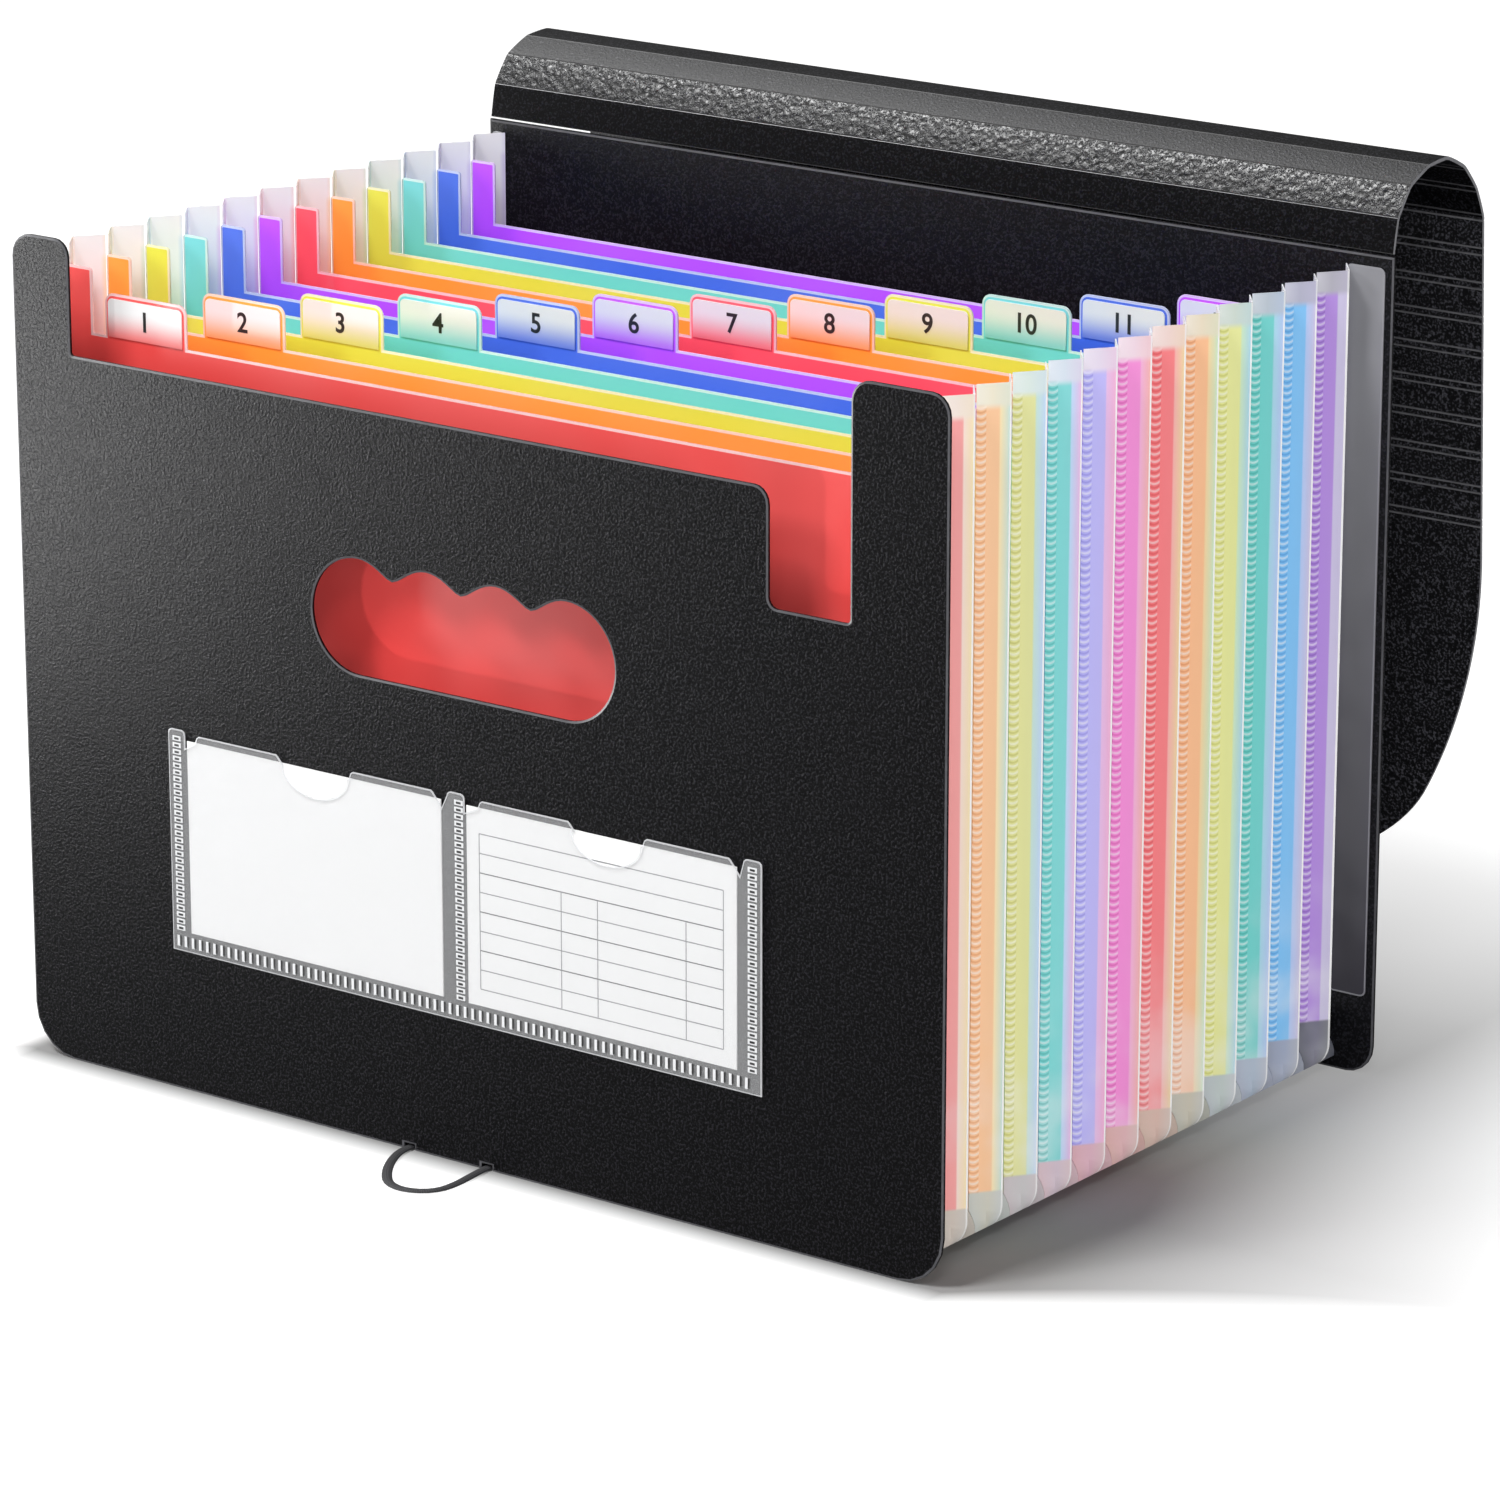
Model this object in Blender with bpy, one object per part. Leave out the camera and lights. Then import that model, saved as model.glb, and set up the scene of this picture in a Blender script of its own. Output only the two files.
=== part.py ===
"""Expanding file: thirteen pockets between twelve tabbed dividers, with a scored closing flap.

Metres, +Z up. The front cover faces -Y and +X lies to the right of whoever reads the tabs.
The origin lies on the floor in the middle of the file's outline, with the elastic loop left out.
Depths are first counted from the outer face of the front cover, and one empty then moves
the whole file so that its middle stands over the origin.
"""

import math

import bmesh
import bpy
from mathutils import Vector

# Gaps, and how finely curves are cut
CLEARANCE = 0.0003
SHEET_GAP = 0.0001
CUT_OVERRUN = 0.002
CORNER_STEPS = 5
FOLD_CORNER_STEPS = 7
GRIP_STEPS = 14
FLAP_SIDE_STEPS = 10
FLAP_END_STEPS = 18
TURNED_STEPS = 24

# Covers
COVER_WIDTH = 0.330
COVER_HEIGHT = 0.2484
COVER_THICKNESS = 0.0012
FRONT_CORNER_RADIUS = 0.015
BACK_CORNER_RADIUS = 0.009
BACK_HEIGHT = 0.2462

# Cut-outs along the top of the front cover
LEFT_EAR_WIDTH = 0.0214
RIGHT_EAR_WIDTH = 0.0317
EAR_RISE = 0.0336
LEFT_EAR_OUTER_RADIUS = 0.007
LEFT_EAR_INNER_RADIUS = 0.005
LEFT_EAR_FOOT_RADIUS = 0.001
RIGHT_EAR_RADIUS = 0.006
SLOT_WIDTH = 0.0272
SLOT_DEPTH = 0.0333
SLOT_LIP_RADIUS = 0.005
SLOT_LEFT_RADIUS = 0.003
SLOT_RIGHT_RADIUS = 0.0015

# Handle hole, with a finger grip of small cusps along its upper edge
HANDLE_WIDTH = 0.1081
HANDLE_HEIGHT = 0.0339
HANDLE_BASE = 0.1379
GRIP_CUSPS = 3
GRIP_DROP = 0.0048
GRIP_SOFTNESS_SHARE = 0.22

# Bellows
POCKET_COUNT = 13
POCKET_PITCH = 0.01676
BELLOWS_OFFSET = -0.00465
BELLOWS_MARGIN = 0.0108
FOLD_DEPTH = 0.00593
BELLOWS_TOP = 0.2425
BELLOWS_LIFT = 0.0024
VALLEY_CORNER_RADIUS = 0.0022
GUSSET_THICKNESS = 0.00035

# Dividers
DIVIDER_THICKNESS = 0.0006
DIVIDER_HEIGHT = 0.2176
STRIP_WIDTH = 0.0093
STRIP_RISE = 0.0191
STRIP_RADIUS = 0.001
TAB_WIDTH = 0.031
TAB_RISE = 0.0127
TAB_RADIUS = 0.003
FIRST_TAB_INSET = 0.005
LAST_TAB_INSET = 0.0063
TAB_BORDER = 0.0014
TAB_LABEL_THICKNESS = 0.0003

# Label pocket on the front cover, and its two cards
POCKET_LEFT_SHARE = 0.3288
POCKET_BASE = 0.0432
SEAM_WIDTH = 0.0063
BOTTOM_SEAM_HEIGHT = 0.0055
CARD_WIDTH = 0.0944
CARD_HEIGHT = 0.0582
CARD_THICKNESS = 0.0003
CARD_SIDE_PLAY = 0.0029
FILM_THICKNESS = 0.0003
FILM_RISE = 0.0637
FILM_TAB_HEIGHT = 0.0028
THUMB_NOTCH_DEPTH = 0.0078
THUMB_NOTCH_RADIUS = 0.004
SEAM_SETBACK = 0.0002
FILM_TAB_SHARES = ((0.045, 0.060, 0.350, 0.368), (0.632, 0.647, 0.940, 0.980))
THUMB_NOTCH_SHARES = (0.378, 0.440, 0.566, 0.628)

# Flap: equal scored bands over the arch, one long panel, a short fold and the end panel
FLAP_SETBACK = 0.0005
FLAP_THICKNESS = 0.001
FLAP_JOINT_GAP = 0.0003
FLAP_CHAMFER = 0.0003
FLAP_HINGE_RISE = 0.0006
FLAP_BAND_LENGTH = 0.0103
FLAP_SCORED_BANDS = 17
FLAP_FOLD_LENGTH = 0.008
FLAP_END_LENGTH = 0.0357
FLAP_FRONT_CLEARANCE = 0.0025
FLAP_ROUND_SHARE = 0.651
FLAP_END_CORNER_RADIUS = 0.030

# How far each flap segment leans back from upright at rest, and turns forward when the flap closes
ARCH_REST_DEGREES = (11.6, 37.0, 66.0, 86.0, 113.5, 136.5, 154.5)
ARCH_TURN_DEGREES = (98.0, 98.0, 98.0, 181.0, 181.0, 181.0, 181.0)
PANEL_REST_DEGREES = 177.2
PANEL_TURN_DEGREES = 268.2
FOLD_REST_DEGREES = (178.2, 179.1, 180.0)
FOLD_TURN_DEGREES = 314.1
END_REST_DEGREES = 180.0

# Closure button near the end of the flap
BUTTON_RADIUS = 0.007
BUTTON_CAP_HEIGHT = 0.0022
BUTTON_EDGE_BREAK = 0.0007
BUTTON_STANDOFF = 0.0016
BUTTON_STEM_RADIUS = 0.002
BUTTON_FROM_END = 0.022
WASHER_RADIUS = 0.0045
WASHER_THICKNESS = 0.0008

# Elastic loop at the foot of the front cover, and the strip that holds its ends
LOOP_RADIUS = 0.0007
LOOP_LEFT_LEG = -0.0214
LOOP_RIGHT_LEG = 0.007
LOOP_NOTCH_WIDTH = 0.004
LOOP_FLOOR_GAP = 0.00005
LOOP_SAMPLES = 30
LOOP_ROUTE = (
    (-0.0214, -0.0022),
    (-0.0203, -0.0070),
    (-0.0171, -0.0138),
    (-0.0126, -0.0205),
    (-0.0075, -0.0256),
    (-0.0018, -0.0273),
    (0.0038, -0.0256),
    (0.0074, -0.0213),
    (0.0082, -0.0150),
    (0.0077, -0.0085),
    (0.0071, -0.0022),
)
ANCHOR_OVERHANG = 0.004
ANCHOR_HEIGHT = 0.0019
ANCHOR_THICKNESS = 0.002

# Places that follow from the sizes above
HALF_COVER = COVER_WIDTH / 2
VALLEY_HALF_WIDTH = HALF_COVER - BELLOWS_MARGIN
FLAP_WIDTH = COVER_WIDTH - 2 * FLAP_SETBACK
DIVIDER_INNER_HALF_WIDTH = VALLEY_HALF_WIDTH - STRIP_WIDTH
TAB_ROOM = 2 * DIVIDER_INNER_HALF_WIDTH - FIRST_TAB_INSET - LAST_TAB_INSET - TAB_WIDTH
TAB_STEP = TAB_ROOM / (POCKET_COUNT - 2)
BELLOWS_DEPTH = POCKET_COUNT * POCKET_PITCH
LOWERED_EDGE = COVER_HEIGHT - EAR_RISE
CARD_SPACE = CARD_THICKNESS + 2 * CLEARANCE
FILM_FRONT = -(CARD_SPACE + FILM_THICKNESS)
POCKET_INNER_WIDTH = CARD_WIDTH + CARD_SIDE_PLAY
POCKET_LEFT = -COVER_WIDTH * POCKET_LEFT_SHARE
FILM_WIDTH = 3 * SEAM_WIDTH + 2 * POCKET_INNER_WIDTH
VALLEY_BASE = BELLOWS_LIFT + FOLD_DEPTH
HINGE_DEPTH = BELLOWS_DEPTH + COVER_THICKNESS / 2
FLAP_STRAIGHT_LENGTH = FLAP_SCORED_BANDS * FLAP_BAND_LENGTH
LOOP_HEIGHT = LOOP_FLOOR_GAP + LOOP_RADIUS
LOOP_NOTCH_HEIGHT = LOOP_HEIGHT + LOOP_RADIUS + CLEARANCE


def run_back(length, degrees):
    """How far back a flap segment reaches when it leans by an angle from upright."""
    return length * math.sin(math.radians(degrees))


def panel_length():
    """Length of the long panel, so that the closed flap's end hangs just before the film."""
    reach = HINGE_DEPTH - FILM_FRONT + FLAP_FRONT_CLEARANCE + FLAP_THICKNESS / 2
    for degrees, turn in zip(ARCH_REST_DEGREES, ARCH_TURN_DEGREES):
        reach += run_back(FLAP_BAND_LENGTH, degrees - turn)
    for degrees in FOLD_REST_DEGREES:
        reach += run_back(FLAP_FOLD_LENGTH, degrees - FOLD_TURN_DEGREES)
    return reach / math.sin(math.radians(PANEL_TURN_DEGREES - PANEL_REST_DEGREES))


FLAP_PANEL_LENGTH = panel_length()
ARCH_LENGTH = len(ARCH_REST_DEGREES) * FLAP_BAND_LENGTH
FLAP_LENGTH = (
    ARCH_LENGTH + FLAP_PANEL_LENGTH + len(FOLD_REST_DEGREES) * FLAP_FOLD_LENGTH + FLAP_END_LENGTH
)


def rounded_outline(corners, steps=CORNER_STEPS):
    """Closed outline through (x, z, radius) corners, each rounded by an arc."""
    points = []
    count = len(corners)
    for index, (x, z, radius) in enumerate(corners):
        corner = Vector((x, z))
        before = Vector(corners[index - 1][:2]) - corner
        after = Vector(corners[(index + 1) % count][:2]) - corner
        if not radius:
            points.append(tuple(corner))
            continue
        half = before.angle(after) / 2
        cut = min(radius / math.tan(half), before.length / 2, after.length / 2)
        arc_radius = cut * math.tan(half)
        middle_way = (before.normalized() + after.normalized()).normalized()
        centre = corner + middle_way * (arc_radius / math.sin(half))
        start = corner + before.normalized() * cut - centre
        end = corner + after.normalized() * cut - centre
        first = math.atan2(start.y, start.x)
        turn = math.atan2(end.y, end.x) - first
        turn = (turn + math.pi) % (2 * math.pi) - math.pi
        for step in range(steps + 1):
            angle = first + turn * step / steps
            points.append((centre.x + arc_radius * math.cos(angle), centre.y + arc_radius * math.sin(angle)))
    return points


def make_material(name, colour, roughness, metallic=0.0, alpha=1.0):
    """Principled material of one colour."""
    material = bpy.data.materials.new(name)
    material.use_nodes = True
    shader = material.node_tree.nodes["Principled BSDF"]
    shader.inputs["Base Color"].default_value = (*colour, 1.0)
    shader.inputs["Roughness"].default_value = roughness
    shader.inputs["Metallic"].default_value = metallic
    shader.inputs["Alpha"].default_value = alpha
    material.diffuse_color = (*colour, alpha)
    return material


def add_object(name, bm, material, place=(0, 0, 0), turn=(0, 0, 0)):
    """Turn a bmesh into a named object, standing in the file's frame."""
    bmesh.ops.recalc_face_normals(bm, faces=bm.faces)
    mesh = bpy.data.meshes.new(name)
    bm.to_mesh(mesh)
    bm.free()
    obj = bpy.data.objects.new(name, mesh)
    bpy.context.scene.collection.objects.link(obj)
    mesh.materials.append(material)
    obj.location = place
    obj.rotation_euler = turn
    obj.parent = file_frame
    return obj


def sheet_mesh(outline, near, far):
    """Flat sheet: an outline in X and Z, extruded along Y."""
    bm = bmesh.new()
    face = bm.faces.new([bm.verts.new((x, near, z)) for x, z in outline])
    grown = bmesh.ops.extrude_face_region(bm, geom=[face])
    moved = [item for item in grown["geom"] if isinstance(item, bmesh.types.BMVert)]
    bmesh.ops.translate(bm, verts=moved, vec=(0, far - near, 0))
    return bm


def turned_mesh(profile):
    """Solid turned about the Y axis from (radius, y) points; a closed ring if none is on the axis."""
    bm = bmesh.new()
    rings = []
    for radius, depth in profile:
        if radius:
            angles = [2 * math.pi * step / TURNED_STEPS for step in range(TURNED_STEPS)]
            rings.append([bm.verts.new((radius * math.cos(a), depth, radius * math.sin(a))) for a in angles])
        else:
            rings.append([bm.verts.new((0, depth, 0))])
    on_axis = len(rings[0]) == 1
    pairs = list(zip(rings, rings[1:]))
    if not on_axis:
        pairs.append((rings[-1], rings[0]))
    for ring, following in pairs:
        for step in range(TURNED_STEPS):
            beyond = (step + 1) % TURNED_STEPS
            corners = []
            for chosen, order in ((ring, (step, beyond)), (following, (beyond, step))):
                if len(chosen) == 1:
                    corners.append(chosen[0])
                else:
                    corners.extend(chosen[place] for place in order)
            bm.faces.new(corners)
    return bm


def modify(obj, cutter, operation):
    """Join a helper solid to an object, or cut it away, and hide the helper."""
    step = obj.modifiers.new(cutter.name, "BOOLEAN")
    step.operation = operation
    step.solver = "EXACT"
    step.object = cutter
    cutter.hide_render = True
    cutter.display_type = "WIRE"


def handle_outline():
    """Long hole with round ends, whose upper edge bears a row of small downward cusps."""
    radius = HANDLE_HEIGHT / 2
    straight = HANDLE_WIDTH / 2 - radius
    middle = HANDLE_BASE + radius
    points = []
    for step in range(2 * GRIP_STEPS + 1):
        angle = math.pi * (0.5 + step / (2 * GRIP_STEPS))
        points.append((-straight + radius * math.cos(angle), middle + radius * math.sin(angle)))
    for step in range(2 * GRIP_STEPS + 1):
        angle = math.pi * (step / (2 * GRIP_STEPS) - 0.5)
        points.append((straight + radius * math.cos(angle), middle + radius * math.sin(angle)))
    pitch = 2 * straight / GRIP_CUSPS
    count = GRIP_CUSPS * GRIP_STEPS
    for step in range(1, count):
        along = straight - 2 * straight * step / count
        wave = math.cos(math.pi * along / pitch)
        if GRIP_CUSPS % 2:
            wave = math.sin(math.pi * along / pitch)
        rise = math.sqrt(wave * wave + GRIP_SOFTNESS_SHARE**2) - GRIP_SOFTNESS_SHARE
        full = math.sqrt(1 + GRIP_SOFTNESS_SHARE**2) - GRIP_SOFTNESS_SHARE
        points.append((along, HANDLE_BASE + HANDLE_HEIGHT - GRIP_DROP * (1 - rise / full)))
    return points


def build_front_cover():
    """Front cover: two ears, a lowered edge, a slot, the handle hole and two notches for the loop."""
    slot_right = HALF_COVER - RIGHT_EAR_WIDTH
    slot_left = slot_right - SLOT_WIDTH
    slot_base = LOWERED_EDGE - SLOT_DEPTH
    half_notch = LOOP_NOTCH_WIDTH / 2
    corners = [(-HALF_COVER, 0, FRONT_CORNER_RADIUS)]
    for leg in (LOOP_LEFT_LEG, LOOP_RIGHT_LEG):
        corners += [
            (leg - half_notch, 0, 0),
            (leg - half_notch, LOOP_NOTCH_HEIGHT, 0),
            (leg + half_notch, LOOP_NOTCH_HEIGHT, 0),
            (leg + half_notch, 0, 0),
        ]
    corners += [
        (HALF_COVER, 0, FRONT_CORNER_RADIUS),
        (HALF_COVER, COVER_HEIGHT, RIGHT_EAR_RADIUS),
        (slot_right, COVER_HEIGHT, RIGHT_EAR_RADIUS),
        (slot_right, slot_base, SLOT_RIGHT_RADIUS),
        (slot_left, slot_base, SLOT_LEFT_RADIUS),
        (slot_left, LOWERED_EDGE, SLOT_LIP_RADIUS),
        (-HALF_COVER + LEFT_EAR_WIDTH, LOWERED_EDGE, LEFT_EAR_FOOT_RADIUS),
        (-HALF_COVER + LEFT_EAR_WIDTH, COVER_HEIGHT, LEFT_EAR_INNER_RADIUS),
        (-HALF_COVER, COVER_HEIGHT, LEFT_EAR_OUTER_RADIUS),
    ]
    cover = add_object("front_cover", sheet_mesh(rounded_outline(corners), 0, COVER_THICKNESS), cover_plastic)
    hole = sheet_mesh(handle_outline(), -CUT_OVERRUN, COVER_THICKNESS + CUT_OVERRUN)
    modify(cover, add_object("handle_cutter", hole, cover_plastic), "DIFFERENCE")


def build_back_cover():
    """Back cover: a plain sheet with rounded feet and a bevelled top edge, where the flap goes on."""
    corners = [
        (-HALF_COVER, 0, BACK_CORNER_RADIUS),
        (HALF_COVER, 0, BACK_CORNER_RADIUS),
        (HALF_COVER, BACK_HEIGHT, 0),
        (-HALF_COVER, BACK_HEIGHT, 0),
    ]
    bm = sheet_mesh(rounded_outline(corners), 0, COVER_THICKNESS)
    top_edges = []
    for edge in bm.edges:
        one, other = (vert.co for vert in edge.verts)
        level = min(one.z, other.z) > BACK_HEIGHT - FLAP_CHAMFER
        if level and abs(one.x - other.x) > HALF_COVER:
            top_edges.append(edge)
    bmesh.ops.bevel(bm, geom=top_edges, offset=FLAP_CHAMFER, offset_type="OFFSET", segments=1, affect="EDGES")
    add_object("back_cover", bm, cover_plastic, (0, BELLOWS_DEPTH, 0))


def fold_path():
    """Points and outward directions down one side of the bellows, along its base and up again."""
    centre_x = VALLEY_HALF_WIDTH - VALLEY_CORNER_RADIUS
    centre_z = VALLEY_BASE + VALLEY_CORNER_RADIUS
    path = [((-VALLEY_HALF_WIDTH, BELLOWS_TOP), (-1, 0))]
    for side in (-1, 1):
        for step in range(FOLD_CORNER_STEPS + 1):
            share = step / FOLD_CORNER_STEPS
            angle = math.pi * (1 + share / 2) if side < 0 else math.pi * (1.5 + share / 2)
            outward = (math.cos(angle), math.sin(angle))
            point = (
                side * centre_x + VALLEY_CORNER_RADIUS * outward[0],
                centre_z + VALLEY_CORNER_RADIUS * outward[1],
            )
            path.append((point, outward))
    path.append(((VALLEY_HALF_WIDTH, BELLOWS_TOP), (1, 0)))
    return path


def build_gusset(number):
    """One fold of the bellows: a V of thin film that runs in a U round a pocket."""
    front_wall = COVER_THICKNESS if number == 1 else DIVIDER_THICKNESS / 2
    back_wall = 0 if number == POCKET_COUNT else DIVIDER_THICKNESS / 2
    near = front_wall + CLEARANCE
    far = POCKET_PITCH - back_wall - CLEARANCE
    half_run = (far - near) / 2
    wall = GUSSET_THICKNESS * math.hypot(half_run, FOLD_DEPTH) / half_run
    profile = [
        (near, 0),
        (near + half_run, FOLD_DEPTH),
        (far, 0),
        (far, -wall),
        (near + half_run, FOLD_DEPTH - wall),
        (near, -wall),
    ]
    bm = bmesh.new()
    rings = []
    for (x, z), (out_x, out_z) in fold_path():
        rings.append([bm.verts.new((x + out_x * off, y, z + out_z * off)) for y, off in profile])
    for ring, following in zip(rings, rings[1:]):
        for index in range(len(profile)):
            beyond = (index + 1) % len(profile)
            bm.faces.new((ring[index], ring[beyond], following[beyond], following[index]))
    for ring in (rings[0], rings[-1]):
        half = len(profile) // 2
        bm.faces.new((ring[0], ring[1], ring[half + 1], ring[half + 2]))
        bm.faces.new((ring[1], ring[2], ring[half], ring[half + 1]))
    place = (BELLOWS_OFFSET, (number - 1) * POCKET_PITCH, 0)
    add_object(f"gusset_{number:02d}", bm, gusset_film, place)


def build_divider(number, colour):
    """One divider sheet with its side strips and its tab, and the label on the tab."""
    half = VALLEY_HALF_WIDTH
    inner = DIVIDER_INNER_HALF_WIDTH
    strip_top = DIVIDER_HEIGHT + STRIP_RISE
    tab_top = DIVIDER_HEIGHT + TAB_RISE
    tab_left = -inner + FIRST_TAB_INSET + (number - 1) * TAB_STEP
    tab_right = tab_left + TAB_WIDTH
    corners = [
        (-half, VALLEY_BASE, VALLEY_CORNER_RADIUS),
        (half, VALLEY_BASE, VALLEY_CORNER_RADIUS),
        (half, strip_top, STRIP_RADIUS),
        (inner, strip_top, STRIP_RADIUS),
        (inner, DIVIDER_HEIGHT, 0),
        (tab_right, DIVIDER_HEIGHT, 0),
        (tab_right, tab_top, TAB_RADIUS),
        (tab_left, tab_top, TAB_RADIUS),
        (tab_left, DIVIDER_HEIGHT, 0),
        (-inner, DIVIDER_HEIGHT, 0),
        (-inner, strip_top, STRIP_RADIUS),
        (-half, strip_top, STRIP_RADIUS),
    ]
    half_sheet = DIVIDER_THICKNESS / 2
    bm = sheet_mesh(rounded_outline(corners), -half_sheet, half_sheet)
    place = (BELLOWS_OFFSET, number * POCKET_PITCH, 0)
    sheet = make_material(f"divider_sheet_{number:02d}", colour, 0.45)
    add_object(f"divider_{number:02d}", bm, sheet, place)
    window = [
        (tab_left + TAB_BORDER, DIVIDER_HEIGHT, 0),
        (tab_right - TAB_BORDER, DIVIDER_HEIGHT, 0),
        (tab_right - TAB_BORDER, tab_top - TAB_BORDER, TAB_RADIUS - TAB_BORDER),
        (tab_left + TAB_BORDER, tab_top - TAB_BORDER, TAB_RADIUS - TAB_BORDER),
    ]
    front = -half_sheet - SHEET_GAP
    bm = sheet_mesh(rounded_outline(window), front - TAB_LABEL_THICKNESS, front)
    add_object(f"tab_label_{number:02d}", bm, label_paper, place)


def build_label_pocket():
    """Clear film welded on the front cover in three uprights and a base, with two cards behind it."""
    top = POCKET_BASE + FILM_RISE
    corners = [(POCKET_LEFT, POCKET_BASE, 0), (POCKET_LEFT + FILM_WIDTH, POCKET_BASE, 0)]
    corners.append((POCKET_LEFT + FILM_WIDTH, top, 0))
    for pocket in (1, 0):
        left = POCKET_LEFT + SEAM_WIDTH + pocket * (POCKET_INNER_WIDTH + SEAM_WIDTH)
        heights = (0, FILM_TAB_HEIGHT, FILM_TAB_HEIGHT, 0)
        edge = [(share, height) for share, height in zip(FILM_TAB_SHARES[1][::-1], heights)]
        depths = (0, -THUMB_NOTCH_DEPTH, -THUMB_NOTCH_DEPTH, 0)
        notch = [(share, depth) for share, depth in zip(THUMB_NOTCH_SHARES[::-1], depths)]
        for part, radius in ((edge, 0), (notch, THUMB_NOTCH_RADIUS)):
            corners += [(left + share * POCKET_INNER_WIDTH, top + rise, radius) for share, rise in part]
        edge = [(share, height) for share, height in zip(FILM_TAB_SHARES[0][::-1], heights)]
        corners += [(left + share * POCKET_INNER_WIDTH, top + rise, 0) for share, rise in edge]
    corners.append((POCKET_LEFT, top, 0))
    film = add_object(
        "label_pocket_film",
        sheet_mesh(rounded_outline(corners), FILM_FRONT, FILM_FRONT + FILM_THICKNESS),
        clear_film,
    )
    base = POCKET_BASE + BOTTOM_SEAM_HEIGHT
    comb = [(POCKET_LEFT + SEAM_SETBACK, POCKET_BASE + SEAM_SETBACK, 0)]
    comb.append((POCKET_LEFT + FILM_WIDTH - SEAM_SETBACK, POCKET_BASE + SEAM_SETBACK, 0))
    for upright in (2, 1, 0):
        left = POCKET_LEFT + upright * (SEAM_WIDTH + POCKET_INNER_WIDTH)
        right_in = SEAM_SETBACK if upright == 2 else 0
        left_in = 0 if upright else SEAM_SETBACK
        if upright < 2:
            comb.append((left + SEAM_WIDTH, base, 0))
        comb.append((left + SEAM_WIDTH - right_in, top - SEAM_SETBACK, 0))
        comb.append((left + left_in, top - SEAM_SETBACK, 0))
        if upright:
            comb.append((left, base, 0))
    seam = sheet_mesh(rounded_outline(comb), FILM_FRONT + FILM_THICKNESS / 2, -SHEET_GAP)
    modify(film, add_object("seam_helper", seam, clear_film), "UNION")

    card_near = FILM_FRONT + FILM_THICKNESS + CLEARANCE
    card_base = base + CLEARANCE
    for side, pocket in (("left", 0), ("right", 1)):
        left = POCKET_LEFT + SEAM_WIDTH + pocket * (POCKET_INNER_WIDTH + SEAM_WIDTH) + CLEARANCE
        outline = [
            (left, card_base),
            (left + CARD_WIDTH, card_base),
            (left + CARD_WIDTH, card_base + CARD_HEIGHT),
            (left, card_base + CARD_HEIGHT),
        ]
        bm = sheet_mesh(outline, card_near, card_near + CARD_THICKNESS)
        add_object(f"index_card_{side}", bm, card_paper)


def flap_half_width(distance):
    """Half the flap's width at a distance from the hinge: straight, then round, then two corners."""
    round_run = FLAP_LENGTH - FLAP_STRAIGHT_LENGTH
    past = max(0, distance - FLAP_STRAIGHT_LENGTH)
    half = FLAP_WIDTH / 2 * math.sqrt(1 - (past / round_run * FLAP_ROUND_SHARE) ** 2)
    into_corner = min(FLAP_END_CORNER_RADIUS, max(0, distance - (FLAP_LENGTH - FLAP_END_CORNER_RADIUS)))
    return half - FLAP_END_CORNER_RADIUS + math.sqrt(FLAP_END_CORNER_RADIUS**2 - into_corner**2)


def flap_segment_mesh(start, length, is_end):
    """Plate from one joint gap to the next; local Z runs along the flap from the joint's axis."""
    low = FLAP_JOINT_GAP / 2
    high = length if is_end else length - FLAP_JOINT_GAP / 2
    straight = start + length <= FLAP_STRAIGHT_LENGTH
    steps = 1 if straight else FLAP_END_STEPS if is_end else FLAP_SIDE_STEPS
    right = []
    for step in range(steps + 1):
        share = math.sin(math.pi / 2 * step / steps) if is_end else step / steps
        along = low + (high - low) * share
        right.append((flap_half_width(start + along), along))
    outline = right + [(-x, z) for x, z in reversed(right)]
    bm = sheet_mesh(outline, -FLAP_THICKNESS / 2, FLAP_THICKNESS / 2)
    hinge_sides = [low] if is_end else [low, high]
    long_edges = []
    for edge in bm.edges:
        one, other = (vert.co for vert in edge.verts)
        level = any(abs(one.z - side) + abs(other.z - side) < FLAP_CHAMFER for side in hinge_sides)
        if level and abs(one.x - other.x) > abs(one.y - other.y):
            long_edges.append(edge)
    bmesh.ops.bevel(bm, geom=long_edges, offset=FLAP_CHAMFER, offset_type="OFFSET", segments=1, affect="EDGES")
    return bm


def build_flap():
    """The chain of flap segments, from the hinge over the arch, down the panel to the end."""
    names = [f"flap_band_{number}" for number in range(1, len(ARCH_REST_DEGREES) + 1)]
    names += ["flap_panel"]
    names += [f"flap_fold_{number}" for number in range(1, len(FOLD_REST_DEGREES) + 1)]
    names += ["flap_end"]
    lengths = [FLAP_BAND_LENGTH] * len(ARCH_REST_DEGREES) + [FLAP_PANEL_LENGTH]
    lengths += [FLAP_FOLD_LENGTH] * len(FOLD_REST_DEGREES) + [FLAP_END_LENGTH]
    leans = [*ARCH_REST_DEGREES, PANEL_REST_DEGREES, *FOLD_REST_DEGREES, END_REST_DEGREES]
    along = 0
    depth = HINGE_DEPTH
    height = BACK_HEIGHT + FLAP_HINGE_RISE
    for name, length, degrees in zip(names, lengths, leans):
        is_end = name == names[-1]
        place = (0, depth, height)
        turn = (-math.radians(degrees), 0, 0)
        segment = add_object(name, flap_segment_mesh(along, length, is_end), cover_plastic, place, turn)
        if is_end:
            build_button(segment, place, turn)
        along += length
        depth += run_back(length, degrees)
        height += length * math.cos(math.radians(degrees))
    return depth + FLAP_THICKNESS / 2


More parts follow.
